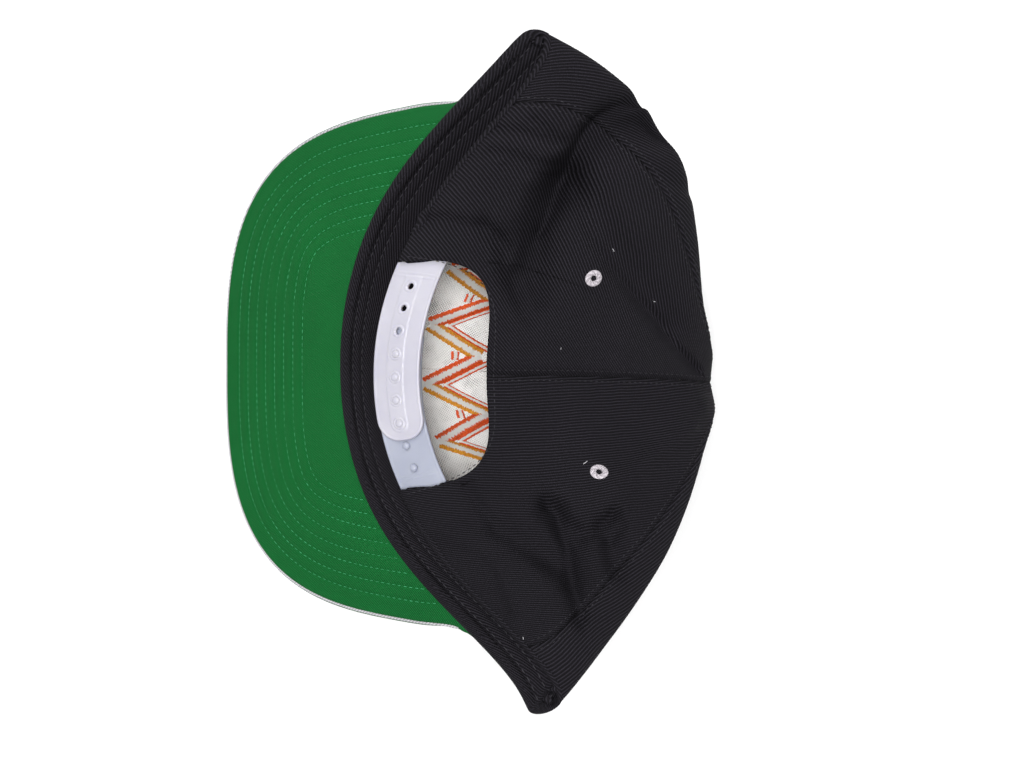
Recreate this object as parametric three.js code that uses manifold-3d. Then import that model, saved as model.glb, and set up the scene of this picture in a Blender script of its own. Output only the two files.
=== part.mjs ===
// Snapback cap with a flat bill, lying on its front with the fastened strap facing up.
// Millimetres, +Z up. The bill points to -Y, the crown's top to +Y, the wearer's right is +X.
import * as THREE from "three";
import { mergeVertices } from "three/addons/utils/BufferGeometryUtils.js";
import Module from "manifold-3d";

const wasm = await Module();
wasm.setup();

// Driving dimensions of the crown
const CROWN_HALF_WIDTH = 124; // middle to the fold at each side of the head opening
const CROWN_LENGTH = 160; // front of the rim to the crown's top, along Y
const CROWN_HEIGHT = 82; // table to the folds at the sides of the rim
const PANEL_WALL = 1.4;
const FRONT_WALL = 2.0; // front panels with their stiffener
const FLOOR_PRESS = 2.0; // how much of the front panels' round the table flattens
const GAP = 0.3; // between sewn pieces
const PANEL_SLACK = 1.0625; // height of a panel from rim to top, as a share of CROWN_LENGTH
const CROWN_TIP = 0.965; // share of a panel's height where its point is cut under the button
const FRONT_SEAM_RIM = 46; // degrees from the front's middle to the seams beside the front panels
const FRONT_SEAM_TOP = 60;
const BACK_SEAM_RIM = 126; // the same to the seams beside the back panels
const BACK_SEAM_TOP = 118;
const BACK_MIDDLE = 180;
const SEAM_BEND = 0.4; // share of the height over which the seams swing in from the rim
const UNDER_END_DEG = 80; // degrees from the front's middle where the folds of the upper side begin
const UPPER_FULL_DEG = 105; // and where they have their full depth
const FOLDS_FROM = 0.17; // share of the height below which the band keeps the cloth smooth
const FOLDS_FULL = 0.32;

// Sweatband
const BAND_WIDTH = 32;
const BAND_WALL = 1.4;
const BAND_CLEARANCE = 0.6;
const BAND_END_GAP = 2; // from the ends of the band to the ends of the straps

// Bill
const BILL_LENGTH = 69; // middle of the rim to the middle of the front edge
const BILL_HALF_WIDTH = 103.5;
const BILL_ROUND_LENGTH = 104; // front edge back to where the sides run straight
const BILL_ROUNDNESS = 2.95; // exponent of the rounded outline, 2 is an ellipse
const BILL_END_DEG = 103; // where the outline meets the rim, seen from its centre
const BILL_SIDE_TAPER = 0.024;
const BILL_RIM_END = 56; // degrees round the rim to the bill's corners
const BILL_TOP_WALL = 2.2;
const BILL_UNDER_WALL = 1.0;
const BILL_UNDER_INSET = 1.4;

// Back opening and strap
const OPENING_HALF_WIDTH = 46;
const OPENING_HEIGHT = 50;
const OPENING_SQUARENESS = 3.6;
const STRAP_WIDTH = 21;
const STRAP_WALL = 1.2;
const STRAP_CLEARANCE = 0.45;
const STRAP_TUCK = 9; // how far each strap goes in under the cloth
const STRAP_CORNER = 6;
const SNAP_PITCH = 9.4;
const HOLES = 7;
const PEGS = 6;
const PEGS_FREE = 2;
const HOLE_DIAMETER = 3.0;
const STEM_DIAMETER = 2.2;
const PEG_DIAMETER = 3.8;
const PEG_HEAD = 1.0;
const HOLES_END = 26.6; // strap with holes: its round end, from the middle
const PEGS_END = 20; // strap with pegs: its round end, from the middle on the other side
const LAST_HOLE = 19.5; // last hole, from the middle
const SNAP_LINE = -0.5; // holes and pegs, from the strap's middle line

// Eyelets and button
const EYELET_DIAMETER = 6.8;
const EYELET_HOLE = 2.0;
const EYELET_HEIGHT = 0.9;
const EYELET_EDGE = 0.6; // height of the ring's edges as a share of its middle
const EYELET_SPREAD = 41.5; // back eyelets, from the middle
const EYELET_LEAN = 2.5; // degrees that both back eyelets lie towards the wearer's right
const EYELET_CLEARANCE = 0.45;
const EYELET_AT = 0.49; // share of the panel's height
const EYELET_SIDE_ANGLE = 80;
const BUTTON_DIAMETER = 14;
const BUTTON_HEIGHT = 3.4;
const BUTTON_DROP = 32; // degrees that the crown's top points below level
const BUTTON_MARGIN = 1; // cloth this far beyond the button's edge still carries it
const BUTTON_REACH = 0.2; // share of the panels' height, down from their points, that it could touch

// Profiles of a peg's head and of the button: out is a share of the radius, up of the height.
const HEAD_PROFILE = [{ out: 1, up: 0 }, { out: 0.85, up: 0.6 }, { out: 0.45, up: 1 }, { out: 0, up: 1 }];
const BUTTON_PROFILE = [
  { out: 0, up: 0 },
  { out: 0.92, up: 0 },
  { out: 1, up: 0.3 },
  { out: 0.86, up: 0.68 },
  { out: 0.5, up: 0.93 },
  { out: 0, up: 1 },
];

// How finely the faces are cut
const PANEL_ROWS = 16;
const FRONT_COLUMNS = 8;
const SIDE_COLUMNS = 15;
const CLOTH_COLUMNS = 5; // back panels, beside the opening
const ARCH_COLUMNS = 9; // back panels, over the opening
const BAND_COLUMNS = 56;
const BAND_ROWS = 3;
const BILL_COLUMNS = 36;
const BILL_ROWS = 5;
const STRAP_COLUMNS = 24;
const STRAP_ROWS = 4;
const STRAP_CROWD = 1.5; // power that crowds a strap's columns at its round end
const SNAP_SIDES = 12;
const EYELET_SIDES = 16;
const BUTTON_SIDES = 20;
const AT_STEP = 0.004; // steps for measuring the crown: a share of the height
const TURN_STEP = 0.5; // and degrees
const LEAST_REACH = 0.01; // mm in a degree, near the crown's top

// Ring sections of the crown from rim to top. at is the share of a panel's height, y is a share of
// CROWN_LENGTH from the rim's front, z of CROWN_HEIGHT, x of CROWN_HALF_WIDTH, where frontX and
// backX say how far the middle leans and leftX and rightX are half widths. Round is the power of
// the curve across, full how much the ring bulges towards its side folds, and a flare lifts the
// ring just inside a side fold.
const SECTIONS = [
  { at: 0.0, frontX: 0.0, frontY: 0.0, frontZ: 0.455, backX: 0.036, backY: 0.088, backZ: 0.55,
    leftX: 0.985, leftY: 0.5, leftZ: 1.02, rightX: 1.0, rightY: 0.505, rightZ: 1.02,
    round: 2.05, full: 2.4, leftFlare: 0.8, rightFlare: 1.5 },
  { at: 0.16, frontX: 0.006, frontY: 0.129, frontZ: 0.232, backX: 0.036, backY: 0.248, backZ: 0.655,
    leftX: 0.89, leftY: 0.66, leftZ: 0.94, rightX: 0.84, rightY: 0.64, rightZ: 0.94,
    round: 2.1, full: 0.6, leftFlare: 0.4, rightFlare: 0.6 },
  { at: 0.33, frontX: 0.014, frontY: 0.286, frontZ: 0.045, backX: 0.037, backY: 0.423, backZ: 0.715,
    leftX: 0.79, leftY: 0.79, leftZ: 0.8, rightX: 0.695, rightY: 0.745, rightZ: 0.83,
    round: 2.2, full: 0.1, leftFlare: 0.0, rightFlare: 0.0 },
  { at: 0.48, frontX: 0.022, frontY: 0.442, frontZ: 0.0, backX: 0.038, backY: 0.579, backZ: 0.665,
    leftX: 0.655, leftY: 0.87, leftZ: 0.68, rightX: 0.56, rightY: 0.825, rightZ: 0.72,
    round: 2.2, full: 0.0, leftFlare: 0.0, rightFlare: 0.0 },
  { at: 0.65, frontX: 0.034, frontY: 0.623, frontZ: 0.0, backX: 0.043, backY: 0.751, backZ: 0.55,
    leftX: 0.465, leftY: 0.92, leftZ: 0.52, rightX: 0.405, rightY: 0.893, rightZ: 0.575,
    round: 2.2, full: 0.0, leftFlare: 0.0, rightFlare: 0.0 },
  { at: 0.8, frontX: 0.046, frontY: 0.786, frontZ: 0.005, backX: 0.05, backY: 0.898, backZ: 0.44,
    leftX: 0.275, leftY: 0.948, leftZ: 0.38, rightX: 0.25, rightY: 0.943, rightZ: 0.43,
    round: 2.1, full: 0.0, leftFlare: 0.0, rightFlare: 0.0 },
  { at: 0.92, frontX: 0.055, frontY: 0.911, frontZ: 0.05, backX: 0.057, backY: 0.99, backZ: 0.305,
    leftX: 0.115, leftY: 0.985, leftZ: 0.25, rightX: 0.105, rightY: 0.982, rightZ: 0.28,
    round: 2.0, full: 0.0, leftFlare: 0.0, rightFlare: 0.0 },
  { at: 1.0, frontX: 0.06, frontY: 0.978, frontZ: 0.14, backX: 0.06, backY: 0.982, backZ: 0.15,
    leftX: 0.0, leftY: 0.98, leftZ: 0.145, rightX: 0.0, rightY: 0.98, rightZ: 0.145,
    round: 2.0, full: 0.0, leftFlare: 0.0, rightFlare: 0.0 },
];

// Folds of the upper side, each along a straight line seen from above. x is a share of
// CROWN_HALF_WIDTH, y of CROWN_LENGTH from the rim's front, wide and deep of CROWN_HEIGHT.
// A negative depth is a ridge.
const FOLDS = [
  { fromX: -0.72, fromY: 0.8, toX: -0.7, toY: 0.64, wide: 0.09, deep: 0.08 },
  { fromX: -0.73, fromY: 0.63, toX: -0.55, toY: 0.57, wide: 0.12, deep: 0.13 },
  { fromX: -0.52, fromY: 0.55, toX: -0.28, toY: 0.49, wide: 0.13, deep: 0.17 },
  { fromX: -0.555, fromY: 0.604, toX: -0.13, toY: 0.854, wide: 0.08, deep: 0.05 },
  { fromX: -0.47, fromY: 0.211, toX: -0.4, toY: 0.412, wide: 0.07, deep: 0.06 },
  { fromX: 0.555, fromY: 0.447, toX: 0.647, toY: 0.564, wide: 0.12, deep: 0.15 },
  { fromX: 0.453, fromY: 0.537, toX: 0.53, toY: 0.607, wide: 0.07, deep: 0.07 },
  { fromX: 0.488, fromY: 0.675, toX: 0.606, toY: 0.7, wide: 0.06, deep: 0.06 },
  { fromX: 0.15, fromY: 0.94, toX: 0.43, toY: 0.69, wide: 0.09, deep: -0.04 },
];

const rad = THREE.MathUtils.degToRad;

// Value of one column of the section table, as a smooth curve through its rows.
function column(key, at) {
  const last = SECTIONS.length - 1;
  let i = 0;
  while (i < last - 1 && at > SECTIONS[i + 1].at) i += 1;
  const slope = (k) => {
    const a = SECTIONS[Math.max(k - 1, 0)];
    const b = SECTIONS[Math.min(k + 1, last)];
    return (b[key] - a[key]) / (b.at - a.at);
  };
  const [p, q] = [SECTIONS[i], SECTIONS[i + 1]];
  const span = q.at - p.at;
  const u = (at - p.at) / span;
  const [u2, u3] = [u * u, u * u * u];
  return (2 * u3 - 3 * u2 + 1) * p[key] + (u3 - 2 * u2 + u) * span * slope(i) +
    (3 * u2 - 2 * u3) * q[key] + (u3 - u2) * span * slope(i + 1);
}

// How far the folds push the cloth down at a place seen from above.
function foldDepth(x, y) {
  let sum = 0;
  for (const f of FOLDS) {
    const from = new THREE.Vector2(f.fromX * CROWN_HALF_WIDTH, f.fromY * CROWN_LENGTH);
    const along = new THREE.Vector2(f.toX * CROWN_HALF_WIDTH, f.toY * CROWN_LENGTH).sub(from);
    const here = new THREE.Vector2(x, y).sub(from);
    const share = THREE.MathUtils.clamp(here.dot(along) / along.lengthSq(), 0, 1);
    const off = here.addScaledVector(along, -share).length();
    sum += f.deep * CROWN_HEIGHT * Math.exp(-((off / (f.wide * CROWN_HEIGHT)) ** 2));
  }
  return sum;
}

// Outer face of the crown before it folds. at runs from rim to top, angle in degrees from the
// front's middle, positive to the wearer's right.
function smoothPoint(at, angle) {
  const turn = Math.atan2(Math.sin(rad(angle)), Math.cos(rad(angle)));
  const side = turn < 0 ? "left" : "right";
  const across = Math.abs(Math.sin(turn));
  const flare = column(side + "Flare", at) * across ** 4 * (1 - across * across);
  const rise = across ** column("round", at) * (1 + flare);
  const swing = Math.cos(turn) * (1 + column("full", at) * across * across);
  const place = (axis) => {
    const front = column("front" + axis, at);
    const back = column("back" + axis, at);
    const middle = (front + back) / 2;
    return middle + (column(side + axis, at) - middle) * rise + ((front - back) / 2) * swing;
  };
  const ahead = (1 + Math.cos(turn)) / 2;
  const lean = column("frontX", at) * ahead + column("backX", at) * (1 - ahead);
  const x = (lean + Math.sign(turn) * column(side + "X", at) * across) * CROWN_HALF_WIDTH;
  return new THREE.Vector3(x, place("Y") * CROWN_LENGTH, place("Z") * CROWN_HEIGHT - FLOOR_PRESS);
}

// Direction out of a face, from its point function.
function outward(point, at, angle) {
  const up = point(at + AT_STEP, angle).sub(point(at - AT_STEP, angle));
  const round = point(at, angle + TURN_STEP).sub(point(at, angle - TURN_STEP));
  return up.cross(round).normalize();
}

// Outer face of the crown, folded on its upper side and flattened where it rests.
function crownPoint(at, angle) {
  const point = smoothPoint(at, angle);
  const turn = Math.abs(Math.atan2(Math.sin(rad(angle)), Math.cos(rad(angle))));
  const above = THREE.MathUtils.smoothstep(turn, rad(UNDER_END_DEG), rad(UPPER_FULL_DEG)) *
    THREE.MathUtils.smoothstep(at, FOLDS_FROM, FOLDS_FULL);
  if (above > 0) {
    const depth = foldDepth(point.x, point.y) * above;
    point.addScaledVector(outward(smoothPoint, at, angle), -depth);
  }
  point.z = Math.max(point.z, 0);
  return point;
}

const crownNormal = (at, angle) => outward(crownPoint, at, angle);

// A point of the crown's wall, depth millimetres inside its outer face.
function wallPoint(at, angle, depth) {
  return crownPoint(at, angle).addScaledVector(crownNormal(at, angle), -depth);
}

// Millimetres of cloth up a panel for the whole of its height, and round the ring for a degree.
function climb(at, angle) {
  return crownPoint(at + AT_STEP, angle).distanceTo(crownPoint(at - AT_STEP, angle)) / (2 * AT_STEP);
}

function reach(at, angle) {
  return crownPoint(at, angle + TURN_STEP).distanceTo(crownPoint(at, angle - TURN_STEP)) / (2 * TURN_STEP);
}

// Closed solid between two faces that share a grid: outer(i, j) and inner(i, j). In a ring the last
// column meets the first.
function slab(columns, rows, outer, inner, isRing = false) {
  const points = [];
  const index = [];
  const lines = isRing ? columns : columns + 1;
  const layer = lines * (rows + 1);
  for (const face of [outer, inner]) {
    for (let i = 0; i < lines; i += 1) {
      for (let j = 0; j <= rows; j += 1) points.push(...face(i, j).toArray());
    }
  }
  const id = (i, j, k) => k * layer + (i % lines) * (rows + 1) + j;
  const quad = (a, b, c, d) => index.push(a, b, c, a, c, d);
  for (let i = 0; i < columns; i += 1) {
    for (let j = 0; j < rows; j += 1) {
      quad(id(i, j, 0), id(i, j + 1, 0), id(i + 1, j + 1, 0), id(i + 1, j, 0));
      quad(id(i, j, 1), id(i + 1, j, 1), id(i + 1, j + 1, 1), id(i, j + 1, 1));
    }
    quad(id(i, 0, 0), id(i + 1, 0, 0), id(i + 1, 0, 1), id(i, 0, 1));
    quad(id(i, rows, 0), id(i, rows, 1), id(i + 1, rows, 1), id(i + 1, rows, 0));
  }
  for (let j = 0; j < rows && !isRing; j += 1) {
    quad(id(0, j, 0), id(0, j, 1), id(0, j + 1, 1), id(0, j + 1, 0));
    quad(id(columns, j, 0), id(columns, j + 1, 0), id(columns, j + 1, 1), id(columns, j, 1));
  }
  const geometry = new THREE.BufferGeometry();
  geometry.setAttribute("position", new THREE.Float32BufferAttribute(points, 3));
  geometry.setIndex(index);
  return geometry;
}

// manifold-3d solid of a closed geometry, and back.
function toSolid(geometry) {
  const bare = geometry.clone();
  bare.deleteAttribute("normal");
  bare.deleteAttribute("uv");
  const merged = mergeVertices(bare, 1e-4);
  return new wasm.Manifold(new wasm.Mesh({
    numProp: 3,
    vertProperties: new Float32Array(merged.attributes.position.array),
    triVerts: new Uint32Array(merged.index.array),
  }));
}

function toGeometry(solid) {
  const mesh = solid.getMesh();
  const geometry = new THREE.BufferGeometry();
  geometry.setAttribute("position", new THREE.Float32BufferAttribute(mesh.vertProperties, 3));
  geometry.setIndex(Array.from(mesh.triVerts));
  return geometry;
}

const MATERIALS = {
  black: new THREE.MeshStandardMaterial({ color: 0x1b1b1f, roughness: 0.9 }),
  grey: new THREE.MeshStandardMaterial({ color: 0xd6d4d8, roughness: 0.9 }),
  green: new THREE.MeshStandardMaterial({ color: 0x137a33, roughness: 0.85 }),
  plastic: new THREE.MeshStandardMaterial({ color: 0xc6c4d8, roughness: 0.4 }),
  thread: new THREE.MeshStandardMaterial({ color: 0xcdc3cd, roughness: 0.8 }),
};

const cap = new THREE.Group();

function add(name, geometry, material) {
  const mesh = new THREE.Mesh(geometry, MATERIALS[material]);
  mesh.name = name;
  cap.add(mesh);
  return mesh;
}

// Panels: seams run up the crown at these angles.
function seamAngle(rimAngle, topAngle, at) {
  const spread = THREE.MathUtils.clamp(1 - at / SEAM_BEND, 0, 1);
  return topAngle + (rimAngle - topAngle) * spread * spread;
}

const SEAMS = {
  frontMiddle: () => 0,
  frontSide: (at) => seamAngle(FRONT_SEAM_RIM, FRONT_SEAM_TOP, at),
  backSide: (at) => seamAngle(BACK_SEAM_RIM, BACK_SEAM_TOP, at),
  backMiddle: () => BACK_MIDDLE,
};

// Angle that lies a distance along the ring from another angle.
function stepRound(at, angle, distance) {
  return angle + distance / Math.max(reach(at, angle), LEAST_REACH);
}

function panel(name, side, from, to, wall, columns, material, start = () => 0, spread = (u) => u) {
  const place = (i, j) => {
    const share = spread(i / columns);
    const low = start(share);
    const at = low + (CROWN_TIP - low) * (j / PANEL_ROWS);
    const first = stepRound(at, SEAMS[from](at), GAP / 2);
    const last = stepRound(at, SEAMS[to](at), -GAP / 2);
    return [at, side * (first + (last - first) * share)];
  };
  const face = (depth) => (i, j) => {
    const k = side > 0 ? i : columns - i;
    return wallPoint(...place(k, j), depth);
  };
  add(name, slab(columns, PANEL_ROWS, face(0), face(wall)), material);
}

// The arched opening: its height above the rim, as a share of the panel, at an angle from the
// back's middle.
const PANEL_HEIGHT = PANEL_SLACK * CROWN_LENGTH;
const OPENING_DEG = THREE.MathUtils.radToDeg(Math.asin(OPENING_HALF_WIDTH / CROWN_HALF_WIDTH));
const OPENING_TOP = OPENING_HEIGHT / PANEL_HEIGHT;

function openingTop(fromMiddle) {
  const share = Math.min(fromMiddle / OPENING_DEG, 1);
  return OPENING_TOP * (1 - share ** OPENING_SQUARENESS) ** (1 / OPENING_SQUARENESS);
}

// Columns of a back panel: even across the cloth beside the opening, then in step with its arch.
const backSpan = BACK_MIDDLE - BACK_SEAM_RIM;
const backColumns = CLOTH_COLUMNS + ARCH_COLUMNS;
const backStart = (share) => openingTop((1 - share) * backSpan);

function backSpread(u) {
  const clothShare = 1 - OPENING_DEG / backSpan;
  const i = u * backColumns;
  if (i <= CLOTH_COLUMNS) return (clothShare * i) / CLOTH_COLUMNS;
  const turn = (Math.PI / 2) * ((i - CLOTH_COLUMNS) / ARCH_COLUMNS);
  return 1 - (1 - clothShare) * Math.cos(turn) ** (2 / OPENING_SQUARENESS);
}

for (const [side, word] of [[-1, "left"], [1, "right"]]) {
  panel("panel_front_" + word, side, "frontMiddle", "frontSide", FRONT_WALL, FRONT_COLUMNS, "grey");
  panel("panel_side_" + word, side, "frontSide", "backSide", PANEL_WALL, SIDE_COLUMNS, "black");
  panel("panel_back_" + word, side, "backSide", "backMiddle", PANEL_WALL, backColumns, "black",
    backStart, backSpread);
}

// The sweatband runs round inside the rim from one side of the opening to the other.
const bandEnd = THREE.MathUtils.radToDeg(
  Math.asin((OPENING_HALF_WIDTH + STRAP_TUCK + BAND_END_GAP) / CROWN_HALF_WIDTH));
const bandOut = FRONT_WALL + BAND_CLEARANCE;
const bandFace = (depth) => (i, j) => {
  const angle = (BACK_MIDDLE - bandEnd) * ((2 * i) / BAND_COLUMNS - 1);
  return wallPoint((BAND_WIDTH / PANEL_HEIGHT) * (j / BAND_ROWS), angle, depth);
};
const bandSolid = slab(BAND_COLUMNS, BAND_ROWS, bandFace(bandOut), bandFace(bandOut + BAND_WALL));
add("sweatband", bandSolid, "black");

// The bill runs from the front of the rim to its outline, and its front edge rests on the table.
const billThickness = BILL_UNDER_WALL + GAP + BILL_TOP_WALL;
const rimMiddle = crownPoint(0, 0);
const billTilt = Math.asin(rimMiddle.z / Math.hypot(BILL_LENGTH, billThickness)) -
  Math.atan2(billThickness, BILL_LENGTH);
const billOut = new THREE.Vector3(0, -Math.cos(billTilt), -Math.sin(billTilt));
const billDown = new THREE.Vector3(0, Math.sin(billTilt), -Math.cos(billTilt));

// Point of the bill's outline in its plane, share 0 in the middle of the front edge, 1 at a corner.
function billOutline(share) {
  const turn = rad(BILL_END_DEG) * Math.abs(share);
  const forward = Math.max(Math.cos(turn), 0) / BILL_ROUND_LENGTH;
  const sideways = Math.sin(turn) / BILL_HALF_WIDTH;
  const radius = (forward ** BILL_ROUNDNESS + sideways ** BILL_ROUNDNESS) ** (-1 / BILL_ROUNDNESS);
  const pastSide = Math.max(turn - Math.PI / 2, 0) / rad(BILL_END_DEG - 90);
  const x = Math.sign(share) * radius * Math.sin(turn) * (1 - BILL_SIDE_TAPER * pastSide ** 2);
  const reach = BILL_LENGTH - BILL_ROUND_LENGTH + radius * Math.cos(turn);
  return new THREE.Vector3(x, 0, 0).addScaledVector(billOut, reach).setX(x)
    .add(new THREE.Vector3(0, rimMiddle.y, rimMiddle.z));
}

function billFace(inset, depth) {
  return (i, j) => {
    const share = (2 * i) / BILL_COLUMNS - 1;
    const edge = billOutline(share);
    const rim = crownPoint(0, share * BILL_RIM_END).addScaledVector(billOut, GAP);
    const length = edge.distanceTo(rim);
    const along = (j / BILL_ROWS) * (1 - inset / Math.max(length, 2 * inset));
    return rim.lerp(edge, along).addScaledVector(billDown, depth);
  };
}

add("bill_under", slab(BILL_COLUMNS, BILL_ROWS, billFace(BILL_UNDER_INSET, 0),
  billFace(BILL_UNDER_INSET, BILL_UNDER_WALL)), "green");
add("bill_top", slab(BILL_COLUMNS, BILL_ROWS, billFace(0, BILL_UNDER_WALL + GAP),
  billFace(0, billThickness)), "grey");

// Snap straps: across is measured from the strap's middle line towards the crown's top, along
// from the middle of the back, positive to the wearer's right.
const strapAt = STRAP_WIDTH / 2 / PANEL_HEIGHT;

function strapAngle(along) {
  let angle = BACK_MIDDLE;
  for (let gone = 0; gone < Math.abs(along); gone += 1) {
    const step = Math.min(1, Math.abs(along) - gone);
    angle = stepRound(strapAt, angle, -Math.sign(along) * step);
  }
  return angle;
}

function strapPoint(along, across, depth) {
  const angle = strapAngle(along);
  return wallPoint(strapAt + across / climb(strapAt, angle), angle, depth);
}

// A strap from its sewn end to its round end, with its outer face this deep in the crown's wall.
function strap(sewn, round, depth) {
  const sign = Math.sign(round - sewn);
  const face = (inside) => (i, j) => {
    const k = sign > 0 ? STRAP_COLUMNS - i : i;
    const along = sewn + (round - sewn) * (1 - (1 - k / STRAP_COLUMNS) ** STRAP_CROWD);
    const near = Math.max(STRAP_CORNER - Math.abs(round - along), 0);
    const half = STRAP_WIDTH / 2 - STRAP_CORNER + Math.sqrt(STRAP_CORNER ** 2 - near ** 2);
    return strapPoint(along, half * ((2 * j) / STRAP_ROWS - 1), inside);
  };
  return toSolid(slab(STRAP_COLUMNS, STRAP_ROWS, face(depth), face(depth + STRAP_WALL)));
}

// A turned shape at a place, its axis along a direction.
function turned(profile, sides, place, direction) {
  const geometry = new THREE.LatheGeometry(profile.map(([r, h]) => new THREE.Vector2(r, h)), sides);
  geometry.applyQuaternion(new THREE.Quaternion().setFromUnitVectors(new THREE.Vector3(0, 1, 0), direction));
  geometry.translate(place.x, place.y, place.z);
  return toSolid(geometry);
}

// The same, standing on a strap.
function snap(profile, along, depth) {
  const out = strapPoint(along, SNAP_LINE, 0).sub(strapPoint(along, SNAP_LINE, 1)).normalize();
  return turned(profile, SNAP_SIDES, strapPoint(along, SNAP_LINE, depth), out);
}

const holesDepth = PANEL_WALL + STRAP_CLEARANCE;
const pegsDepth = holesDepth + STRAP_WALL + STRAP_CLEARANCE;
let holesStrap = strap(-OPENING_HALF_WIDTH - STRAP_TUCK, HOLES_END, holesDepth);
const [holeRadius, holeReach] = [HOLE_DIAMETER / 2, 2 * STRAP_WALL];
const hole = [[0, -holeReach], [holeRadius, -holeReach], [holeRadius, holeReach], [0, holeReach]];
for (let i = 0; i < HOLES; i += 1) {
  holesStrap = holesStrap.subtract(snap(hole, LAST_HOLE - i * SNAP_PITCH, holesDepth));
}
add("strap_holes", toGeometry(holesStrap), "plastic");

let pegsStrap = strap(OPENING_HALF_WIDTH + STRAP_TUCK, -PEGS_END, pegsDepth);
const neck = STRAP_CLEARANCE + STRAP_WALL + GAP;
const peg = [[0, -STRAP_WALL / 2], [STEM_DIAMETER / 2, -STRAP_WALL / 2], [STEM_DIAMETER / 2, neck]];
for (const { out, up } of HEAD_PROFILE) peg.push([(PEG_DIAMETER / 2) * out, neck + PEG_HEAD * up]);
for (let i = 0; i < PEGS; i += 1) {
  pegsStrap = pegsStrap.add(snap(peg, LAST_HOLE + (PEGS_FREE - i) * SNAP_PITCH, pegsDepth));
}
add("strap_pegs", toGeometry(pegsStrap), "plastic");

// Eyelets: rings of thread that follow the cloth.
function eyelet(name, at, angle) {
  const [up, round] = [climb(at, angle), reach(at, angle)];
  const face = (height) => (i, j) => {
    const turn = (2 * Math.PI * i) / EYELET_SIDES;
    const r = (EYELET_HOLE + (EYELET_DIAMETER - EYELET_HOLE) * (j / 2)) / 2;
    const lift = EYELET_CLEARANCE + height * (j === 1 ? 1 : EYELET_EDGE);
    return wallPoint(at + (r * Math.sin(turn)) / up, angle - (r * Math.cos(turn)) / round, -lift);
  };
  add(name, slab(EYELET_SIDES, 2, face(EYELET_HEIGHT), face(0), true), "thread");
}

for (const [side, word] of [[-1, "left"], [1, "right"]]) {
  const halfWidth = column(word + "X", EYELET_AT) * CROWN_HALF_WIDTH;
  const backAngle = BACK_MIDDLE - THREE.MathUtils.radToDeg(Math.asin(EYELET_SPREAD / halfWidth));
  eyelet("eyelet_back_" + word, EYELET_AT, side * backAngle - EYELET_LEAN);
  eyelet("eyelet_side_" + word, EYELET_AT, side * EYELET_SIDE_ANGLE);
}

// Covered button over the point where the panels meet. It stands clear of every corner of the
// panels' faces that lies under it.
const tip = smoothPoint(1, 0);
const axis = new THREE.Vector3(0, Math.cos(rad(BUTTON_DROP)), -Math.sin(rad(BUTTON_DROP)));
const buttonRadius = BUTTON_DIAMETER / 2;
let clear = -BUTTON_DIAMETER;
for (let row = 0; row <= PANEL_ROWS; row += 1) {
  for (let line = 0; line < BUTTON_SIDES; line += 1) {
    const at = CROWN_TIP * (1 - (row / PANEL_ROWS) * BUTTON_REACH);
    const offset = crownPoint(at, (2 * BACK_MIDDLE * line) / BUTTON_SIDES).sub(tip);
    const out = offset.dot(axis);
    const aside = offset.addScaledVector(axis, -out).length();
    if (aside < buttonRadius + BUTTON_MARGIN) clear = Math.max(clear, out);
  }
}
const buttonProfile = BUTTON_PROFILE.map(({ out, up }) => [buttonRadius * out, BUTTON_HEIGHT * up]);
const buttonPlace = tip.clone().addScaledVector(axis, clear + GAP);
add("top_button", toGeometry(turned(buttonProfile, BUTTON_SIDES, buttonPlace, axis)), "black");

// The origin is on the table, under the middle of the whole cap.
const bounds = new THREE.Box3().setFromObject(cap);
const centre = bounds.getCenter(new THREE.Vector3());
cap.position.set(-centre.x, -centre.y, -bounds.min.z);

export default cap;
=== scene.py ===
import math

import bpy
import numpy as np
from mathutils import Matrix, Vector


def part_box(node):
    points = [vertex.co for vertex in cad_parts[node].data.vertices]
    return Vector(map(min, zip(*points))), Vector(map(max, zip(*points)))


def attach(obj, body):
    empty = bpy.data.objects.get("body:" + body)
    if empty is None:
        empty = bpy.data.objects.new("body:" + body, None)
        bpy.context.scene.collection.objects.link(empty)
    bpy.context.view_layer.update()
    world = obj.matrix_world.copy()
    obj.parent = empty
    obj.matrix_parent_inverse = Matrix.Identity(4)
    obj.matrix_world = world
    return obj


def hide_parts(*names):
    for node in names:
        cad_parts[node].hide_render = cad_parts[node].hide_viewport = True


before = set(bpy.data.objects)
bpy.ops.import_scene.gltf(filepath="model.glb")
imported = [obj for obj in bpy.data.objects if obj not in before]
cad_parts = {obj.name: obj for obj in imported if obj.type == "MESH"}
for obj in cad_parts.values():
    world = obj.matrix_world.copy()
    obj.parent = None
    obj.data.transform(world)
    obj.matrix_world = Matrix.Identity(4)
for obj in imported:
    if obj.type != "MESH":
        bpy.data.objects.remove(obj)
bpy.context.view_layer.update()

# Sizes of the cap in millimetres, as in the model that the frame was packed from
HALF_WIDTH = 124.0
CROWN_LENGTH = 160.0
CROWN_HEIGHT = 82.0
PANEL_HEIGHT = 1.0625 * CROWN_LENGTH
PANEL_WALL = 1.4
FRONT_WALL = 2.0
FLOOR_PRESS = 2.0
GAP = 0.3
CROWN_TIP = 0.965
FRONT_SEAM = (46.0, 60.0)  # degrees at the rim and at the top
BACK_SEAM = (126.0, 118.0)
FOLDS_FROM, FOLDS_FULL = 0.17, 0.32
BAND_WIDTH = 32.0
BAND_WALL = 1.4
BAND_CLEARANCE = 0.6
BAND_END_GAP = 2.0
BILL_LENGTH = 69.0
BILL_HALF_WIDTH = 103.5
BILL_ROUND_LENGTH = 104.0
BILL_ROUNDNESS = 2.95
BILL_END_DEG = 103.0
BILL_SIDE_TAPER = 0.024
BILL_RIM_END = 56.0
BILL_TOP_WALL = 2.2
BILL_UNDER_WALL = 1.0
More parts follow.
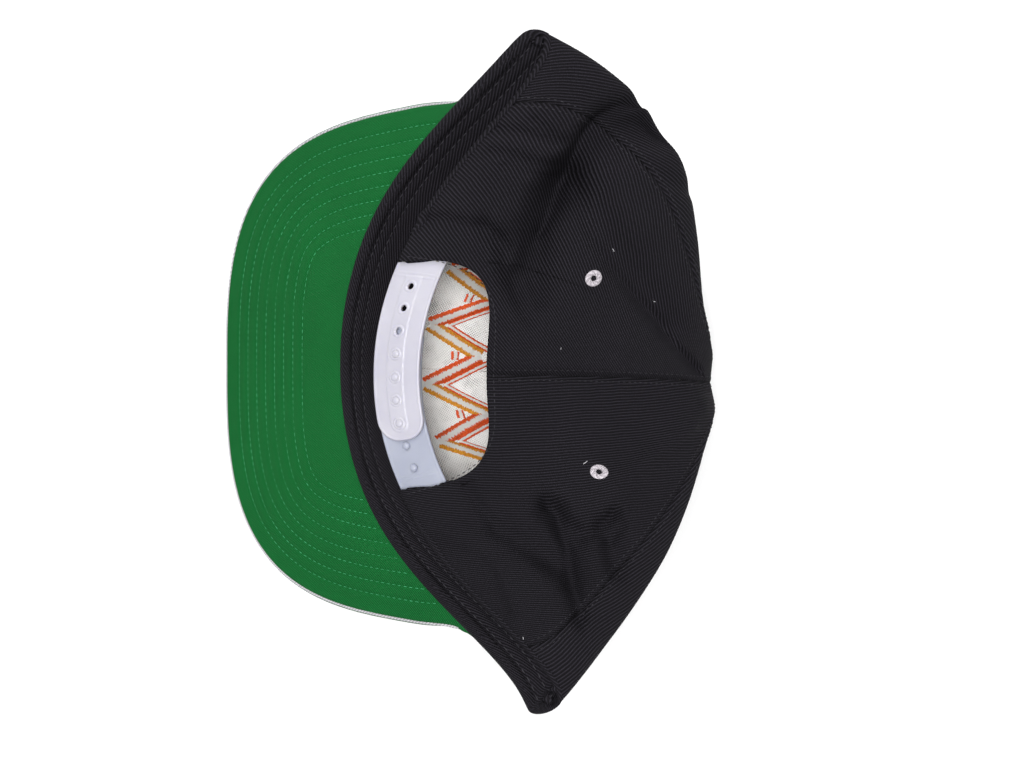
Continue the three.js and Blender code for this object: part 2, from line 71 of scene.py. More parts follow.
BILL_EDGE = 1.8  # green cloth stops this far from the outline, inside the pale edge
OPENING_HALF_WIDTH = 46.0
OPENING_HEIGHT = 50.0
OPENING_SQUARENESS = 3.6
STRAP_WIDTH = 21.0
STRAP_WALL = 1.2
STRAP_CLEARANCE = 0.45
STRAP_TUCK = 9.0
SNAP_PITCH = 9.4
SNAP_LINE = -0.5
LAST_HOLE = 19.5
HOLES_END = 26.6
PEGS_END = 20.0
EYELET_DIAMETER = 6.8
EYELET_HOLE = 2.0
EYELET_LEAN = 2.5
EYELET_SPREAD = 41.5
EYELET_AT = 0.49
EYELET_SIDE_ANGLE = 80.0
UNDER_END_DEG, UPPER_FULL_DEG = 80.0, 105.0  # folds fade in between these turns from the front
SEAM_BEND = 0.4

# Ring sections of the crown from rim to top, as shares of the sizes above
SECTION_KEYS = ("at", "frontX", "frontY", "frontZ", "backX", "backY", "backZ", "leftX", "leftY",
                "leftZ", "rightX", "rightY", "rightZ", "round", "full", "leftFlare", "rightFlare")
SECTIONS = dict(zip(SECTION_KEYS, np.array([
    (0, 0, 0, .455, .036, .088, .55, .985, .5, 1.02, 1, .505, 1.02, 2.05, 2.4, .8, 1.5),
    (.16, .006, .129, .232, .036, .248, .655, .89, .66, .94, .84, .64, .94, 2.1, .6, .4, .6),
    (.33, .014, .286, .045, .037, .423, .715, .79, .79, .8, .695, .745, .83, 2.2, .1, 0, 0),
    (.48, .022, .442, 0, .038, .579, .665, .655, .87, .68, .56, .825, .72, 2.2, 0, 0, 0),
    (.65, .034, .623, 0, .043, .751, .55, .465, .92, .52, .405, .893, .575, 2.2, 0, 0, 0),
    (.8, .046, .786, .005, .05, .898, .44, .275, .948, .38, .25, .943, .43, 2.1, 0, 0, 0),
    (.92, .055, .911, .05, .057, .99, .305, .115, .985, .25, .105, .982, .28, 2, 0, 0, 0),
    (1, .06, .978, .14, .06, .982, .15, 0, .98, .145, 0, .98, .145, 2, 0, 0, 0),
]).T))

# Main folds, as in the frame's solids: from x, y to x, y, width, depth (shares)
FOLDS = [
    (-.72, .8, -.7, .64, .09, .08),
    (-.73, .63, -.55, .57, .12, .13),
    (-.52, .55, -.28, .49, .13, .17),
    (-.555, .604, -.13, .854, .08, .05),
    (-.47, .211, -.4, .412, .07, .06),
    (.555, .447, .647, .564, .12, .15),
    (.453, .537, .53, .607, .07, .07),
    (.488, .675, .606, .7, .06, .06),
    (.15, .94, .43, .69, .09, -.04),
]

# Fine creases that only the finished cloth has: a bent line of x, y shares, the width on its left
# and on its right, and the depth, in millimetres. A negative depth is a ridge.
CREASES = [
    (((-.8, .765), (-.76, .71), (-.72, .665), (-.67, .63), (-.6, .605), (-.54, .6),
      (-.47, .57), (-.4, .533)), 1.8, 3.2, 3.6),
    (((-.38, .53), (-.29, .53), (-.2, .52)), 3.5, 3.5, 2.8),
    (((-.43, .38), (-.385, .418), (-.29, .43), (-.2, .47), (-.137, .495)), 3.2, 3.2, 2.6),
    (((-.35, .455), (-.277, .48), (-.2, .503)), 2.2, 2.2, -1),
    (((-.46, .23), (-.46, .27), (-.438, .33), (-.42, .38), (-.39, .41), (-.354, .44)),
     1.8, 3, 3),
    (((-.7, .41), (-.683, .468), (-.65, .553)), 1.7, 1.7, 2.2),
    (((-.64, .396), (-.6, .5), (-.588, .564)), 1.6, 1.6, 2),
    (((-.596, .433), (-.577, .49), (-.553, .567)), 1.4, 1.4, 1.6),
    (((-.714, .496), (-.655, .572)), 1.4, 1.4, 1.6),
    (((-.555, .624), (-.469, .635), (-.385, .656), (-.298, .711), (-.207, .788), (-.144, .847),
      (-.057, .89), (.015, .952)), 1.2, 3.4, 2.4),
    (((-.638, .713), (-.608, .771), (-.567, .837), (-.553, .893)), 3, 3, 1),
    (((.423, .533), (.437, .567), (.475, .583), (.515, .62), (.509, .655), (.482, .687),
      (.463, .7)), 2, 2.2, 4),
    (((.463, .7), (.496, .718), (.537, .693)), 1.8, 2.4, 2.6),
    (((.437, .559), (.543, .587), (.657, .597), (.74, .612)), 2.2, 4.2, 4.3),
    (((.508, .418), (.559, .478), (.591, .54)), 4.2, 4.2, 4.4),
    (((.555, .261), (.584, .348), (.628, .397), (.738, .432)), 2.4, 3.2, 1.8),
    (((.383, .335), (.444, .372), (.489, .399)), 2, 2.6, 2.2),
    (((.219, .913), (.332, .761), (.387, .686)), 2.5, 4, -1.4),
    (((.379, .346), (.397, .384), (.412, .425)), 1.5, 1.8, 1),
    (((.5, .341), (.517, .451)), 1.6, 1.8, 1.2),
    (((.592, .376), (.58, .453)), 1.6, 1.6, .9),
]

rad = math.radians
MM = 0.001
AT_STEP, ANGLE_STEP, CLIMB_STEP = 0.004, 0.5, 0.01
FLOOR_CLEAR = 0.02


def column(key, at):
    """One column of the section table as a smooth curve through its rows."""
    rows, values = SECTIONS["at"], SECTIONS[key]
    last = len(rows) - 1
    i = np.clip(np.searchsorted(rows, at, side="right") - 1, 0, last - 1)
    low, high = np.maximum(np.arange(last + 1) - 1, 0), np.minimum(np.arange(last + 1) + 1, last)
    slope = (values[high] - values[low]) / (rows[high] - rows[low])
    span = rows[i + 1] - rows[i]
    u = (at - rows[i]) / span
    return ((2 * u**3 - 3 * u**2 + 1) * values[i] + (u**3 - 2 * u**2 + u) * span * slope[i]
            + (3 * u**2 - 2 * u**3) * values[i + 1] + (u**3 - u**2) * span * slope[i + 1])


def smoothstep(x, low, high):
    u = np.clip((x - low) / (high - low), 0, 1)
    return u * u * (3 - 2 * u)


def smooth_point(at, angle):
    """Outer face of the crown before it folds. angle in degrees from the front's middle."""
    turn = np.arctan2(np.sin(np.radians(angle)), np.cos(np.radians(angle)))
    left = turn < 0
    across = np.abs(np.sin(turn))

    def side(key):
        return np.where(left, column("left" + key, at), column("right" + key, at))

    flare = side("Flare") * across**4 * (1 - across**2)
    rise = across ** column("round", at) * (1 + flare)
    swing = np.cos(turn) * (1 + column("full", at) * across**2)

    def place(axis):
        front, back = column("front" + axis, at), column("back" + axis, at)
        middle = (front + back) / 2
        return middle + (side(axis) - middle) * rise + (front - back) / 2 * swing

    ahead = (1 + np.cos(turn)) / 2
    lean = column("frontX", at) * ahead + column("backX", at) * (1 - ahead)
    x = (lean + np.sign(turn) * side("X") * across) * HALF_WIDTH
    return np.stack([x, place("Y") * CROWN_LENGTH, place("Z") * CROWN_HEIGHT - FLOOR_PRESS], -1)


def outward(point, at, angle):
    up = point(at + AT_STEP, angle) - point(at - AT_STEP, angle)
    ring = point(at, angle + ANGLE_STEP) - point(at, angle - ANGLE_STEP)
    normal = np.cross(up, ring)
    return normal / np.linalg.norm(normal, axis=-1, keepdims=True)


def off_line(x, y, ax, ay, bx, by):
    """Distance to a straight line seen from above, and the side that the place is on."""
    dx, dy = bx - ax, by - ay
    share = np.clip(((x - ax) * dx + (y - ay) * dy) / (dx * dx + dy * dy), 0, 1)
    ox, oy = x - ax - share * dx, y - ay - share * dy
    return np.hypot(ox, oy), np.sign(dx * oy - dy * ox)


def fold_depth(x, y):
    total = np.zeros_like(x)
    for ax, ay, bx, by, wide, deep in FOLDS:
        off, _ = off_line(x, y, ax * HALF_WIDTH, ay * CROWN_LENGTH, bx * HALF_WIDTH, by * CROWN_LENGTH)
        total += deep * CROWN_HEIGHT * np.exp(-((off / (wide * CROWN_HEIGHT)) ** 2))
    return total


def crease_depth(x, y):
    total = np.zeros_like(x)
    for line, left, right, deep in CREASES:
        pts = [(a * HALF_WIDTH, b * CROWN_LENGTH) for a, b in line]
        runs = [off_line(x, y, *p, *q) for p, q in zip(pts, pts[1:])]
        offs = np.array([r[0] for r in runs])
        sides = np.array([r[1] for r in runs])
        near = offs.argmin(0)
        off = np.take_along_axis(offs, near[None], 0)[0]
        way = np.take_along_axis(sides, near[None], 0)[0]
        total += deep * np.exp(-((off / np.where(way > 0, left, right)) ** 2))
    return total


def crown_point(at, angle):
    at, angle = np.broadcast_arrays(np.asarray(at, float), np.asarray(angle, float))
    p = smooth_point(at, angle)
    turn = np.abs(np.arctan2(np.sin(np.radians(angle)), np.cos(np.radians(angle))))
    above = smoothstep(turn, rad(UNDER_END_DEG), rad(UPPER_FULL_DEG))
    depth = fold_depth(p[..., 0], p[..., 1]) * smoothstep(at, FOLDS_FROM, FOLDS_FULL)
    depth = (depth + crease_depth(p[..., 0], p[..., 1])) * above
    p = p - outward(smooth_point, at, angle) * depth[..., None]
    p[..., 2] = np.maximum(p[..., 2], 0)
    return p


def crown_normal(at, angle):
    return outward(crown_point, at, angle)


def wall_point(at, angle, depth):
    return crown_point(at, angle) - crown_normal(at, angle) * np.asarray(depth)[..., None]


def norm(vectors):
    return np.linalg.norm(vectors, axis=-1)


def climb(at, angle):
    """Millimetres up the crown for one unit of at."""
    return norm(crown_point(at + CLIMB_STEP, angle) - crown_point(at - CLIMB_STEP, angle)) / (2 * CLIMB_STEP)


def around(at, angle, half=ANGLE_STEP):
    """Millimetres round the crown for one degree."""
    return norm(crown_point(at, angle + half) - crown_point(at, angle - half)) / (2 * half)


# The frame's own origin: the bill is even about the cap's middle, and its front edge is known.
rim_middle = crown_point(0.0, 0.0)
BILL_THICKNESS = BILL_UNDER_WALL + GAP + BILL_TOP_WALL
bill_tilt = (math.asin(rim_middle[2] / math.hypot(BILL_LENGTH, BILL_THICKNESS))
             - math.atan2(BILL_THICKNESS, BILL_LENGTH))
bill_out = np.array([0, -math.cos(bill_tilt), -math.sin(bill_tilt)])
bill_down = np.array([0, math.sin(bill_tilt), -math.cos(bill_tilt)])
top_low, top_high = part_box("bill_top")
bill_front = BILL_LENGTH * bill_out[1] + (BILL_UNDER_WALL + GAP) * bill_down[1]
SHIFT = np.array([(top_low[0] + top_high[0]) / 2 / MM, top_low[1] / MM - bill_front, 0.0])


def to_frame(points):
    return (np.asarray(points) + SHIFT) * MM


# Meshes


def new_object(name, points, faces, material, stands_for=(), fields=None):
    mesh = bpy.data.meshes.new(name)
    points = to_frame(points).reshape(-1, 3)
    mesh.from_pydata(points.tolist(), [], np.asarray(faces).tolist())
    for key, values in (fields or {}).items():
        kind = "FLOAT_VECTOR" if np.ndim(values) > 1 else "FLOAT"
        layer = mesh.attributes.new(key, kind, "POINT")
        layer.data.foreach_set("vector" if kind == "FLOAT_VECTOR" else "value",
                               np.asarray(values, np.float32).ravel())
    mesh.polygons.foreach_set("use_smooth", [True] * len(mesh.polygons))
    mesh.materials.append(material)
    mesh.update()
    piece = bpy.data.objects.new(name, mesh)
    bpy.context.scene.collection.objects.link(piece)
    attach(piece, "root")
    if stands_for:
        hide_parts(*stands_for)
    return piece


def grid_faces(columns, rows, wrap=False, flip=False, start=0):
    """Quads of a grid of points stored column by column. wrap joins the last column to the first."""
    i, j = np.meshgrid(np.arange(columns if wrap else columns - 1), np.arange(rows - 1), indexing="ij")
    i, j = i.ravel(), j.ravel()
    k = (i + 1) % columns
    quads = np.stack([i * rows + j, i * rows + j + 1, k * rows + j + 1, k * rows + j], -1)
    return (quads[:, ::-1] if flip else quads) + start


def loop_faces(columns, rows):
    """Quads of a body whose columns are closed loops of this many points. Its two ends stay open."""
    i, j = np.meshgrid(np.arange(columns - 1), np.arange(rows), indexing="ij")
    i, j = i.ravel(), j.ravel()
    n = (j + 1) % rows
    return np.stack([i * rows + j, i * rows + n, (i + 1) * rows + n, (i + 1) * rows + j], -1)


def thicken(piece, wall):
    made = piece.modifiers.new("wall", "SOLIDIFY")
    made.thickness = wall * MM
    made.offset = -1
    made.use_even_offset = False


def capsule(rings=5, sides=6, bluntness=0.6):
    """A stitch along x, half a unit to each end, with its faces."""
    t = np.linspace(0, math.pi, rings + 2)[1:-1]
    a = np.arange(sides) / sides * 2 * math.pi
    body = [(-0.5 * math.cos(u), *(math.sin(u) ** bluntness * turn for turn in (math.cos(b), math.sin(b))))
            for u in t for b in a]
    points = np.array([(-0.5, 0, 0), *body, (0.5, 0, 0)])
    faces = [(0, 1 + (s + 1) % sides, 1 + s) for s in range(sides)]
    for r in range(rings - 1):
        for s in range(sides):
            p, q = 1 + r * sides + s, 1 + r * sides + (s + 1) % sides
            faces += [(p, q, q + sides), (p, q + sides, p + sides)]
    end = len(points) - 1
    faces += [(end, end - sides + s, end - sides + (s + 1) % sides) for s in range(sides)]
    return points, np.array(faces)


def stitches(name, centres, along, normal, lengths, width, height, material):
    """Many small threads as one mesh: centres, directions, surface normals, lengths in mm."""
    shape, faces = capsule()
    centres, along, normal = (np.asarray(v, float).reshape(-1, 3) for v in (centres, along, normal))
    along = along / np.linalg.norm(along, axis=1, keepdims=True)
    side = np.cross(normal, along)
    side /= np.linalg.norm(side, axis=1, keepdims=True)
    up = np.cross(along, side)
    lengths = np.broadcast_to(lengths, len(centres))
    points = (centres[:, None] + shape[None, :, 0:1] * along[:, None] * lengths[:, None, None]
              + shape[None, :, 1:2] * side[:, None] * width / 2
              + shape[None, :, 2:3] * up[:, None] * height / 2)
    index = (faces[None] + np.arange(len(centres))[:, None, None] * len(shape)).reshape(-1, 3)
    new_object(name, points, index, material)


def run_of_stitches(line, normal, length, gap):
    """Centres, directions and normals of stitches along a line of points."""
    line = np.asarray(line)
    step = norm(np.diff(line, axis=0))
    along = np.concatenate([[0], np.cumsum(step)])
    count = int(along[-1] // (length + gap))
    mid = (np.arange(count) + 0.5) * (length + gap)

    def pick(at, values):
        return np.stack([np.interp(at, along, values[:, k]) for k in range(3)], -1)

    centre = pick(mid, line)
    way = pick(mid + length / 2, line) - pick(mid - length / 2, line)
    return centre, way, pick(mid, np.asarray(normal))


# Materials


class Nodes:
    """A small helper that builds a material's node tree."""

    def __init__(self, name):
        self.material = bpy.data.materials.new(name)
        self.material.use_nodes = True
        self.tree = self.material.node_tree
        self.shader = self.tree.nodes["Principled BSDF"]

    def node(self, kind, **settings):
        made = self.tree.nodes.new("ShaderNode" + kind)
        for key, value in settings.items():
            setattr(made, key, value)
        return made

    def link(self, source, target):
        self.tree.links.new(source, target)

    def feed(self, sockets, **values):
        """Sets each named socket to a number or colour, or links another node's output to it."""
        for key, value in values.items():
            socket = sockets[key.replace("_", " ")]
            if isinstance(value, (int, float)):
                socket.default_value = value
            elif isinstance(value, tuple):
                socket.default_value = (*value, 1)
            else:
                self.link(value, socket)

    def math(self, operation, *values):
        made = self.node("Math", operation=operation)
        for socket, value in zip(made.inputs, values):
            if isinstance(value, (int, float)):
                socket.default_value = value
            else:
                self.link(value, socket)
        return made.outputs[0]

    def cloth(self):
        """The place on the flat cloth in mm, whole and as its parts."""
        place = self.node("Attribute", attribute_name="cloth").outputs["Vector"]
        split = self.node("SeparateXYZ")
        self.link(place, split.inputs[0])
        return place, split.outputs

    def position(self):
        return self.node("TexCoord").outputs["Object"]

    def noise(self, vector, scale, detail=3.0, roughness=0.5):
        made = self.node("TexNoise")
        self.feed(made.inputs, Scale=scale, Detail=detail, Roughness=roughness, Vector=vector)
        return made.outputs["Fac"]

    def ramp(self, value, stops):
        made = self.node("ValToRGB")
        elements = made.color_ramp.elements
        while len(elements) < len(stops):
            elements.new(0.5)
        for element, (place, colour) in zip(elements, stops):
            element.position = place
            element.color = (*colour, 1)
        self.link(value, made.inputs["Fac"])
        return made.outputs["Color"]

    def mix(self, share, a, b, blend="MIX"):
        made = self.node("Mix", data_type="RGBA", blend_type=blend)
        self.feed(made.inputs, Factor=share, A=a, B=b)
        return made.outputs["Result"]

    def bump(self, height, distance):
        made = self.node("Bump")
        self.feed(made.inputs, Distance=distance * MM, Strength=1.0, Height=height)
        return made.outputs["Normal"]

    def finish(self, colour, normal, roughness=0.9, sheen=0.0, sheen_tint=(1, 1, 1), gloss=0.5):
        self.feed(self.shader.inputs, Base_Color=colour, Normal=normal, Roughness=roughness,
                  Specular_IOR_Level=gloss, Sheen_Weight=sheen, Sheen_Roughness=0.5, Sheen_Tint=sheen_tint)
        return self.material


def twill(name, dark, mid, light, pitch, depth, sheen=0.02, wear=0.3):
    """Ribbed twill. The field "cloth" holds the place on the flat cloth in mm, turned so that the
    ribs run along its second value. pitch is the distance between ribs in mm."""
    n = Nodes(name)
    cloth, part = n.cloth()
    wobble = n.math("MULTIPLY", n.noise(cloth, 0.07, 2.0), 0.9)
    across = n.math("ADD", n.math("MULTIPLY", part["X"], 1 / pitch), wobble)
    along = n.math("MULTIPLY", part["Y"], 1 / pitch)
    wave = n.math("SINE", n.math("MULTIPLY", across, 2 * math.pi))
    rib = n.math("ADD", n.math("MULTIPLY", wave, 0.5), 0.5)
    yarn = n.math("SINE", n.math("MULTIPLY", n.math("ADD", along, across), 2 * math.pi * 1.3))
    speck = n.noise(cloth, 1.9 / pitch, 2.0, 0.7)
    height = n.math("ADD", rib, n.math("MULTIPLY", yarn, 0.14))
    height = n.math("ADD", height, n.math("MULTIPLY", speck, 0.5))
    # Painted shade and highlight: the colour goes from the dark colour in the grooves between ribs to the
    # light colour on the rib tops and on raised specks, following the bump.
    tone = n.math("ADD", n.math("MULTIPLY", rib, 0.45), n.math("MULTIPLY", speck, 0.6))
    colour = n.ramp(tone, ((0.18, dark), (0.52, mid), (0.86, light)))
    worn = n.noise(n.position(), 26.0, 4.0, 0.6)
    shade = n.ramp(worn, ((0.3, (1 - wear * 0.5,) * 3), (0.7, (1.0, 1.0, 1.0))))
    colour = n.mix(1.0, colour, shade, "MULTIPLY")
    return n.finish(colour, n.bump(height, depth), 0.8, sheen, light, 0.16)


def thread_material(name, dark, light, pitch=0.45):
    """Embroidery thread lying across a ribbon whose length is the field "cloth"'s first value."""
    n = Nodes(name)
    cloth, part = n.cloth()
    slant = n.math("ADD", part["X"], n.math("MULTIPLY", part["Y"], 0.25))
    wave = n.math("SINE", n.math("MULTIPLY", slant, 2 * math.pi / pitch))
    speck = n.noise(cloth, 1.5, 2.0)
    # Partly painted shade: the colour is darker in the grooves between threads and lighter on their crowns,
    # following the bump; the noise adds random tone.
    tone = n.math("ADD", n.math("MULTIPLY", wave, 0.25), speck)
    colour = n.ramp(tone, ((0.25, dark), (0.75, light)))
    return n.finish(colour, n.bump(wave, 0.12), 0.55, 0.4, light)


def stitch_material(name, dark, light):
    n = Nodes(name)
    speck = n.noise(n.position(), 900.0, 2.0)
    tint = n.noise(n.position(), 60.0, 2.0)
    colour = n.ramp(n.math("ADD", n.math("MULTIPLY", speck, 0.6), n.math("MULTIPLY", tint, 0.4)),
                    ((0.35, dark), (0.65, light)))
    return n.finish(colour, n.bump(speck, 0.05), 0.7, 0.3, light)


def plastic(name, colour, edge):
    n = Nodes(name)
    cloud = n.noise(n.position(), 55.0, 3.0)
    grain = n.noise(n.position(), 1500.0, 2.0)
    tone = n.ramp(cloud, ((0.3, edge), (0.7, colour)))
    made = n.finish(tone, n.bump(grain, 0.012), 0.34)
    n.feed(n.shader.inputs, Subsurface_Weight=0.35, Subsurface_Scale=0.002, IOR=1.46)
    n.shader.inputs["Subsurface Radius"].default_value = (0.7, 0.7, 1.0)
    return made


# Dark, mid and light colour of each twill: the dark one is painted shade in the rib grooves, the light one a
# painted highlight on the rib tops.
BLACK = ((0.0025, 0.002, 0.003), (0.008, 0.0068, 0.0095), (0.034, 0.031, 0.041))
GREY = ((0.3, 0.29, 0.31), (0.56, 0.55, 0.58), (0.74, 0.73, 0.76))
GREEN = ((0.001, 0.045, 0.008), (0.003, 0.13, 0.024), (0.01, 0.26, 0.055))
black_cloth = twill("black_twill", *BLACK, 1.12, 0.45)
black_band = twill("black_band_twill", *BLACK, 0.95, 0.32)
grey_cloth = twill("grey_twill", *GREY, 1.1, 0.3, 0.05, 0.15)
green_cloth = twill("green_twill", *GREEN, 0.66, 0.3, 0.02, 0.25)
# Each thread's dark colour is partly painted shade between the threads; its light colour is the thread
# crowns.
orange_thread = thread_material("orange_thread", (0.6, 0.06, 0.01), (1.0, 0.2, 0.04))
yellow_thread = thread_material("yellow_thread", (0.65, 0.28, 0.02), (1.0, 0.55, 0.08))
white_thread = thread_material("white_thread", (0.62, 0.6, 0.58), (0.92, 0.91, 0.88))
eyelet_thread = thread_material("eyelet_thread", (0.4, 0.36, 0.4), (0.8, 0.75, 0.79), 0.5)
black_stitch = stitch_material("black_stitch", (0.006, 0.005, 0.007), (0.03, 0.028, 0.036))
green_stitch = stitch_material("green_stitch", (0.01, 0.17, 0.05), (0.05, 0.38, 0.16))
lint_fibre = stitch_material("lint_fibre", (0.5, 0.49, 0.52), (0.8, 0.79, 0.82))
strap_plastic = plastic("strap_plastic", (0.53, 0.52, 0.58), (0.47, 0.46, 0.53))
# A darker copy of the strap plastic for the inner strap and its free pegs: painted shade.
shaded_peg_plastic = plastic("shaded_peg_plastic", (0.4, 0.42, 0.5), (0.34, 0.36, 0.44))


def buckram():
    """White stiffener cloth inside the front panels: an open weave with small dark specks."""
    n = Nodes("buckram")
    cloth, part = n.cloth()
    waves = [n.math("SINE", n.math("MULTIPLY", part[axis], 2 * math.pi / 1.3)) for axis in "XY"]
    weave = n.math("MULTIPLY", waves[0], waves[1])
    cloud = n.noise(cloth, 0.09, 3.0)
    tone = n.math("ADD", n.math("MULTIPLY", weave, 0.3), cloud)
    colour = n.ramp(tone, ((0.16, (0.3, 0.29, 0.29)), (0.32, (0.92, 0.91, 0.88)), (0.6, (1, 0.99, 0.97))))
    return n.finish(colour, n.bump(weave, 0.18), 0.85, 0.1)


buckram_white = buckram()

# Crown panels


def seam_angle(seam, at):
    spread = np.clip(1 - at / SEAM_BEND, 0, 1)
    return seam[1] + (seam[0] - seam[1]) * spread**2


def ring_step(at, angle, distance):
    return angle + distance / np.maximum(around(at, angle), 0.01)


OPENING_DEG = math.degrees(math.asin(OPENING_HALF_WIDTH / HALF_WIDTH))
OPENING_TOP = OPENING_HEIGHT / PANEL_HEIGHT


def opening_top(from_middle):
    share = np.clip(from_middle / OPENING_DEG, 0, 1)
    return OPENING_TOP * (1 - share**OPENING_SQUARENESS) ** (1 / OPENING_SQUARENESS)


def spaced(count, crowd=0.35):
    u = np.linspace(0, 1, count)
    return (1 - crowd) * u + crowd * (0.5 - 0.5 * np.cos(math.pi * u))


# Distances round the rings, in a table by share of the height and by angle
RING_ROWS, RING_PER_DEG = 100, 2
RING_AT = np.linspace(0, 1, RING_ROWS + 1)
RING_ANGLE = np.linspace(-180, 180, 360 * RING_PER_DEG + 1)
ring_points = smooth_point(RING_AT[:, None], RING_ANGLE[None, :] + 0 * RING_AT[:, None])
RING_PLACE = np.concatenate([
    np.zeros((len(RING_AT), 1)),
    np.cumsum(norm(np.diff(ring_points, axis=1)), axis=1),
], axis=1)
RING_PLACE -= RING_PLACE[:, 180 * RING_PER_DEG, None]


def table_row(place, count):
    """The row of a table that a place falls in, and how far past it."""
    place = np.clip(place, 0, count - 0.001)
    low = place.astype(int)
    return low, place - low


def ring_place(at, angle):
    """Distance round the ring in mm from the front's middle to an angle from -180 to 180."""
    low, a = table_row(at * RING_ROWS, RING_ROWS)
    first, b = table_row((angle + 180) * RING_PER_DEG, 360 * RING_PER_DEG)
    return ((1 - a) * ((1 - b) * RING_PLACE[low, first] + b * RING_PLACE[low, first + 1])
            + a * ((1 - b) * RING_PLACE[low + 1, first] + b * RING_PLACE[low + 1, first + 1]))


def metric(points):
    """Place on the flat cloth in mm: distance along each row from its middle, and up the panel."""
    across, up = norm(np.diff(points, axis=0)), norm(np.diff(points, axis=1))
    u = np.concatenate([np.zeros((1, points.shape[1])), np.cumsum(across, axis=0)])
    u -= u[len(u) // 2]
    v = np.concatenate([np.zeros((points.shape[0], 1)), np.cumsum(up, axis=1)], axis=1)
    return u, v


SEAM_DIP, SEAM_WIDTH = 0.5, 0.8
HEM_DIP, HEM_WIDTH = 0.6, 0.9
PUCKER_DEPTH, PUCKER_PITCH, PUCKER_WIDTH = 0.12, 5.3, 3.5


def turned_field(u, v, lean):
    """Place on the flat cloth, turned so that the ribs lean this far from the second direction."""
    c, s = math.cos(rad(lean)), math.sin(rad(lean))
    return np.stack([c * u - s * v, s * u + c * v, 0 * u], -1).reshape(-1, 3)


def panel_grid(side, low_seam, high_seam, shares, rows, start):
    share = shares[:, None]
    low = start(share)
    at = low + (CROWN_TIP - low) * rows[None, :]
    first = seam_angle(low_seam, at)
    last = seam_angle(high_seam, at)
    return at, side * (first + (last - first) * share)


def panel(name, side, low_seam, high_seam, depth, wall, shares, material, lean, stands_for=(),
          start=None):
    """One cloth layer of a crown panel, its outer face this deep in the wall."""
    rows = spaced(ROWS, 0.2)
    at, angle = panel_grid(side, low_seam, high_seam, shares, rows, start or (lambda share: 0 * share))
    points, normal = crown_point(at, angle), crown_normal(at, angle)
    _, v = metric(points)
    first, last = side * seam_angle(low_seam, at), side * seam_angle(high_seam, at)
    u = ring_place(at, angle)
    to_seam = np.minimum(np.abs(u - ring_place(at, first)), np.abs(u - ring_place(at, last)))
    u = u - ring_place(at, (first + last) / 2)
    to_hem = v - v[:, :1]
    dip = SEAM_DIP * np.exp(-((to_seam / SEAM_WIDTH) ** 2)) + HEM_DIP * np.exp(-((to_hem / HEM_WIDTH) ** 2))
    pucker = PUCKER_DEPTH * np.sin(v * 2 * math.pi / PUCKER_PITCH + side)
    pucker = pucker * np.exp(-((to_seam / PUCKER_WIDTH) ** 2))
    points = points - normal * (depth + (dip + pucker) * (depth == 0))[..., None]
    points[..., 2] = np.maximum(points[..., 2], FLOOR_CLEAR + depth)
    cloth = turned_field(u, at * PANEL_HEIGHT, lean)
    faces = grid_faces(*at.shape, flip=side < 0)
    piece = new_object(name, points, faces, material, stands_for, {"cloth": cloth})
    thicken(piece, wall)


ROWS = 130
WHOLE = (0.0, 0.0)
BACK = (180.0, 180.0)
back_span = 180 - BACK_SEAM[0]
cloth_share = 1 - OPENING_DEG / back_span
SIDE_COLUMNS, FRONT_COLUMNS, CLOTH_COLUMNS, ARCH_COLUMNS = 110, 80, 36, 64
half_arch = np.linspace(0, math.pi / 2, ARCH_COLUMNS + 1)[1:]
back_shares = np.concatenate([
    cloth_share * np.linspace(0, 1, CLOTH_COLUMNS + 1),
    1 - (1 - cloth_share) * np.cos(half_arch) ** (2 / OPENING_SQUARENESS),
])


def back_start(share):
    return opening_top((1 - share) * back_span)


OUTER_WALL, BUCKRAM_GAP, BUCKRAM_WALL = 1.2, 0.1, 0.6
for side, word, side_lean, back_lean in ((-1, "left", 28.0, -38.0), (1, "right", -19.0, -17.0)):
    panel("cloth_side_" + word, side, FRONT_SEAM, BACK_SEAM, 0, PANEL_WALL, spaced(SIDE_COLUMNS), black_cloth,
          side_lean, ("panel_side_" + word,))
    panel("cloth_back_" + word, side, BACK_SEAM, BACK, 0, PANEL_WALL, back_shares, black_cloth,
          back_lean, ("panel_back_" + word,), back_start)
    panel("cloth_front_" + word, side, WHOLE, FRONT_SEAM, 0, OUTER_WALL, spaced(FRONT_COLUMNS), grey_cloth,
          30.0, ("panel_front_" + word,))
    panel("buckram_" + word, side, WHOLE, FRONT_SEAM, OUTER_WALL + BUCKRAM_GAP, BUCKRAM_WALL,
          spaced(FRONT_COLUMNS), buckram_white, 0.0)

# Band inside the rim, and the folded edge that covers the rim

BAND_DEPTH = FRONT_WALL + BAND_CLEARANCE
BAND_STITCH_ROWS = (3.4, 7.6, 27.0)
BAND_END = 180 - math.degrees(math.asin((OPENING_HALF_WIDTH + STRAP_TUCK + BAND_END_GAP) / HALF_WIDTH))
BAND_COLUMNS, BAND_ROWS = 420, 44
BAND_LEAN, EDGE_LEAN = 65.0, 60.0
band_angle = np.linspace(-BAND_END, BAND_END, BAND_COLUMNS)[:, None]
band_v = np.linspace(0, BAND_WIDTH, BAND_ROWS)[None, :]
band_at = band_v / PANEL_HEIGHT + 0 * band_angle
band_round = band_angle + 0 * band_v
band_base = wall_point(band_at, band_round, BAND_DEPTH + BAND_WALL + 0 * band_at)
band_u, _ = metric(band_base)
band_dip = sum(0.7 * np.exp(-(((band_v - row) / 0.8) ** 2)) for row in BAND_STITCH_ROWS)
band_puff = 0.35 * np.sin(math.pi * band_v / BAND_WIDTH) ** 0.5 + 0.15 * np.sin(band_u / 4.1) - band_dip
band_face = wall_point(band_at, band_round, BAND_DEPTH + BAND_WALL + band_puff)
band_field = turned_field(band_u, band_v + 0 * band_u, BAND_LEAN)
thicken(new_object("band_cloth", band_face, grid_faces(*band_at.shape, flip=True), black_band,
                   ("sweatband",), {"cloth": band_field}), BAND_WALL)

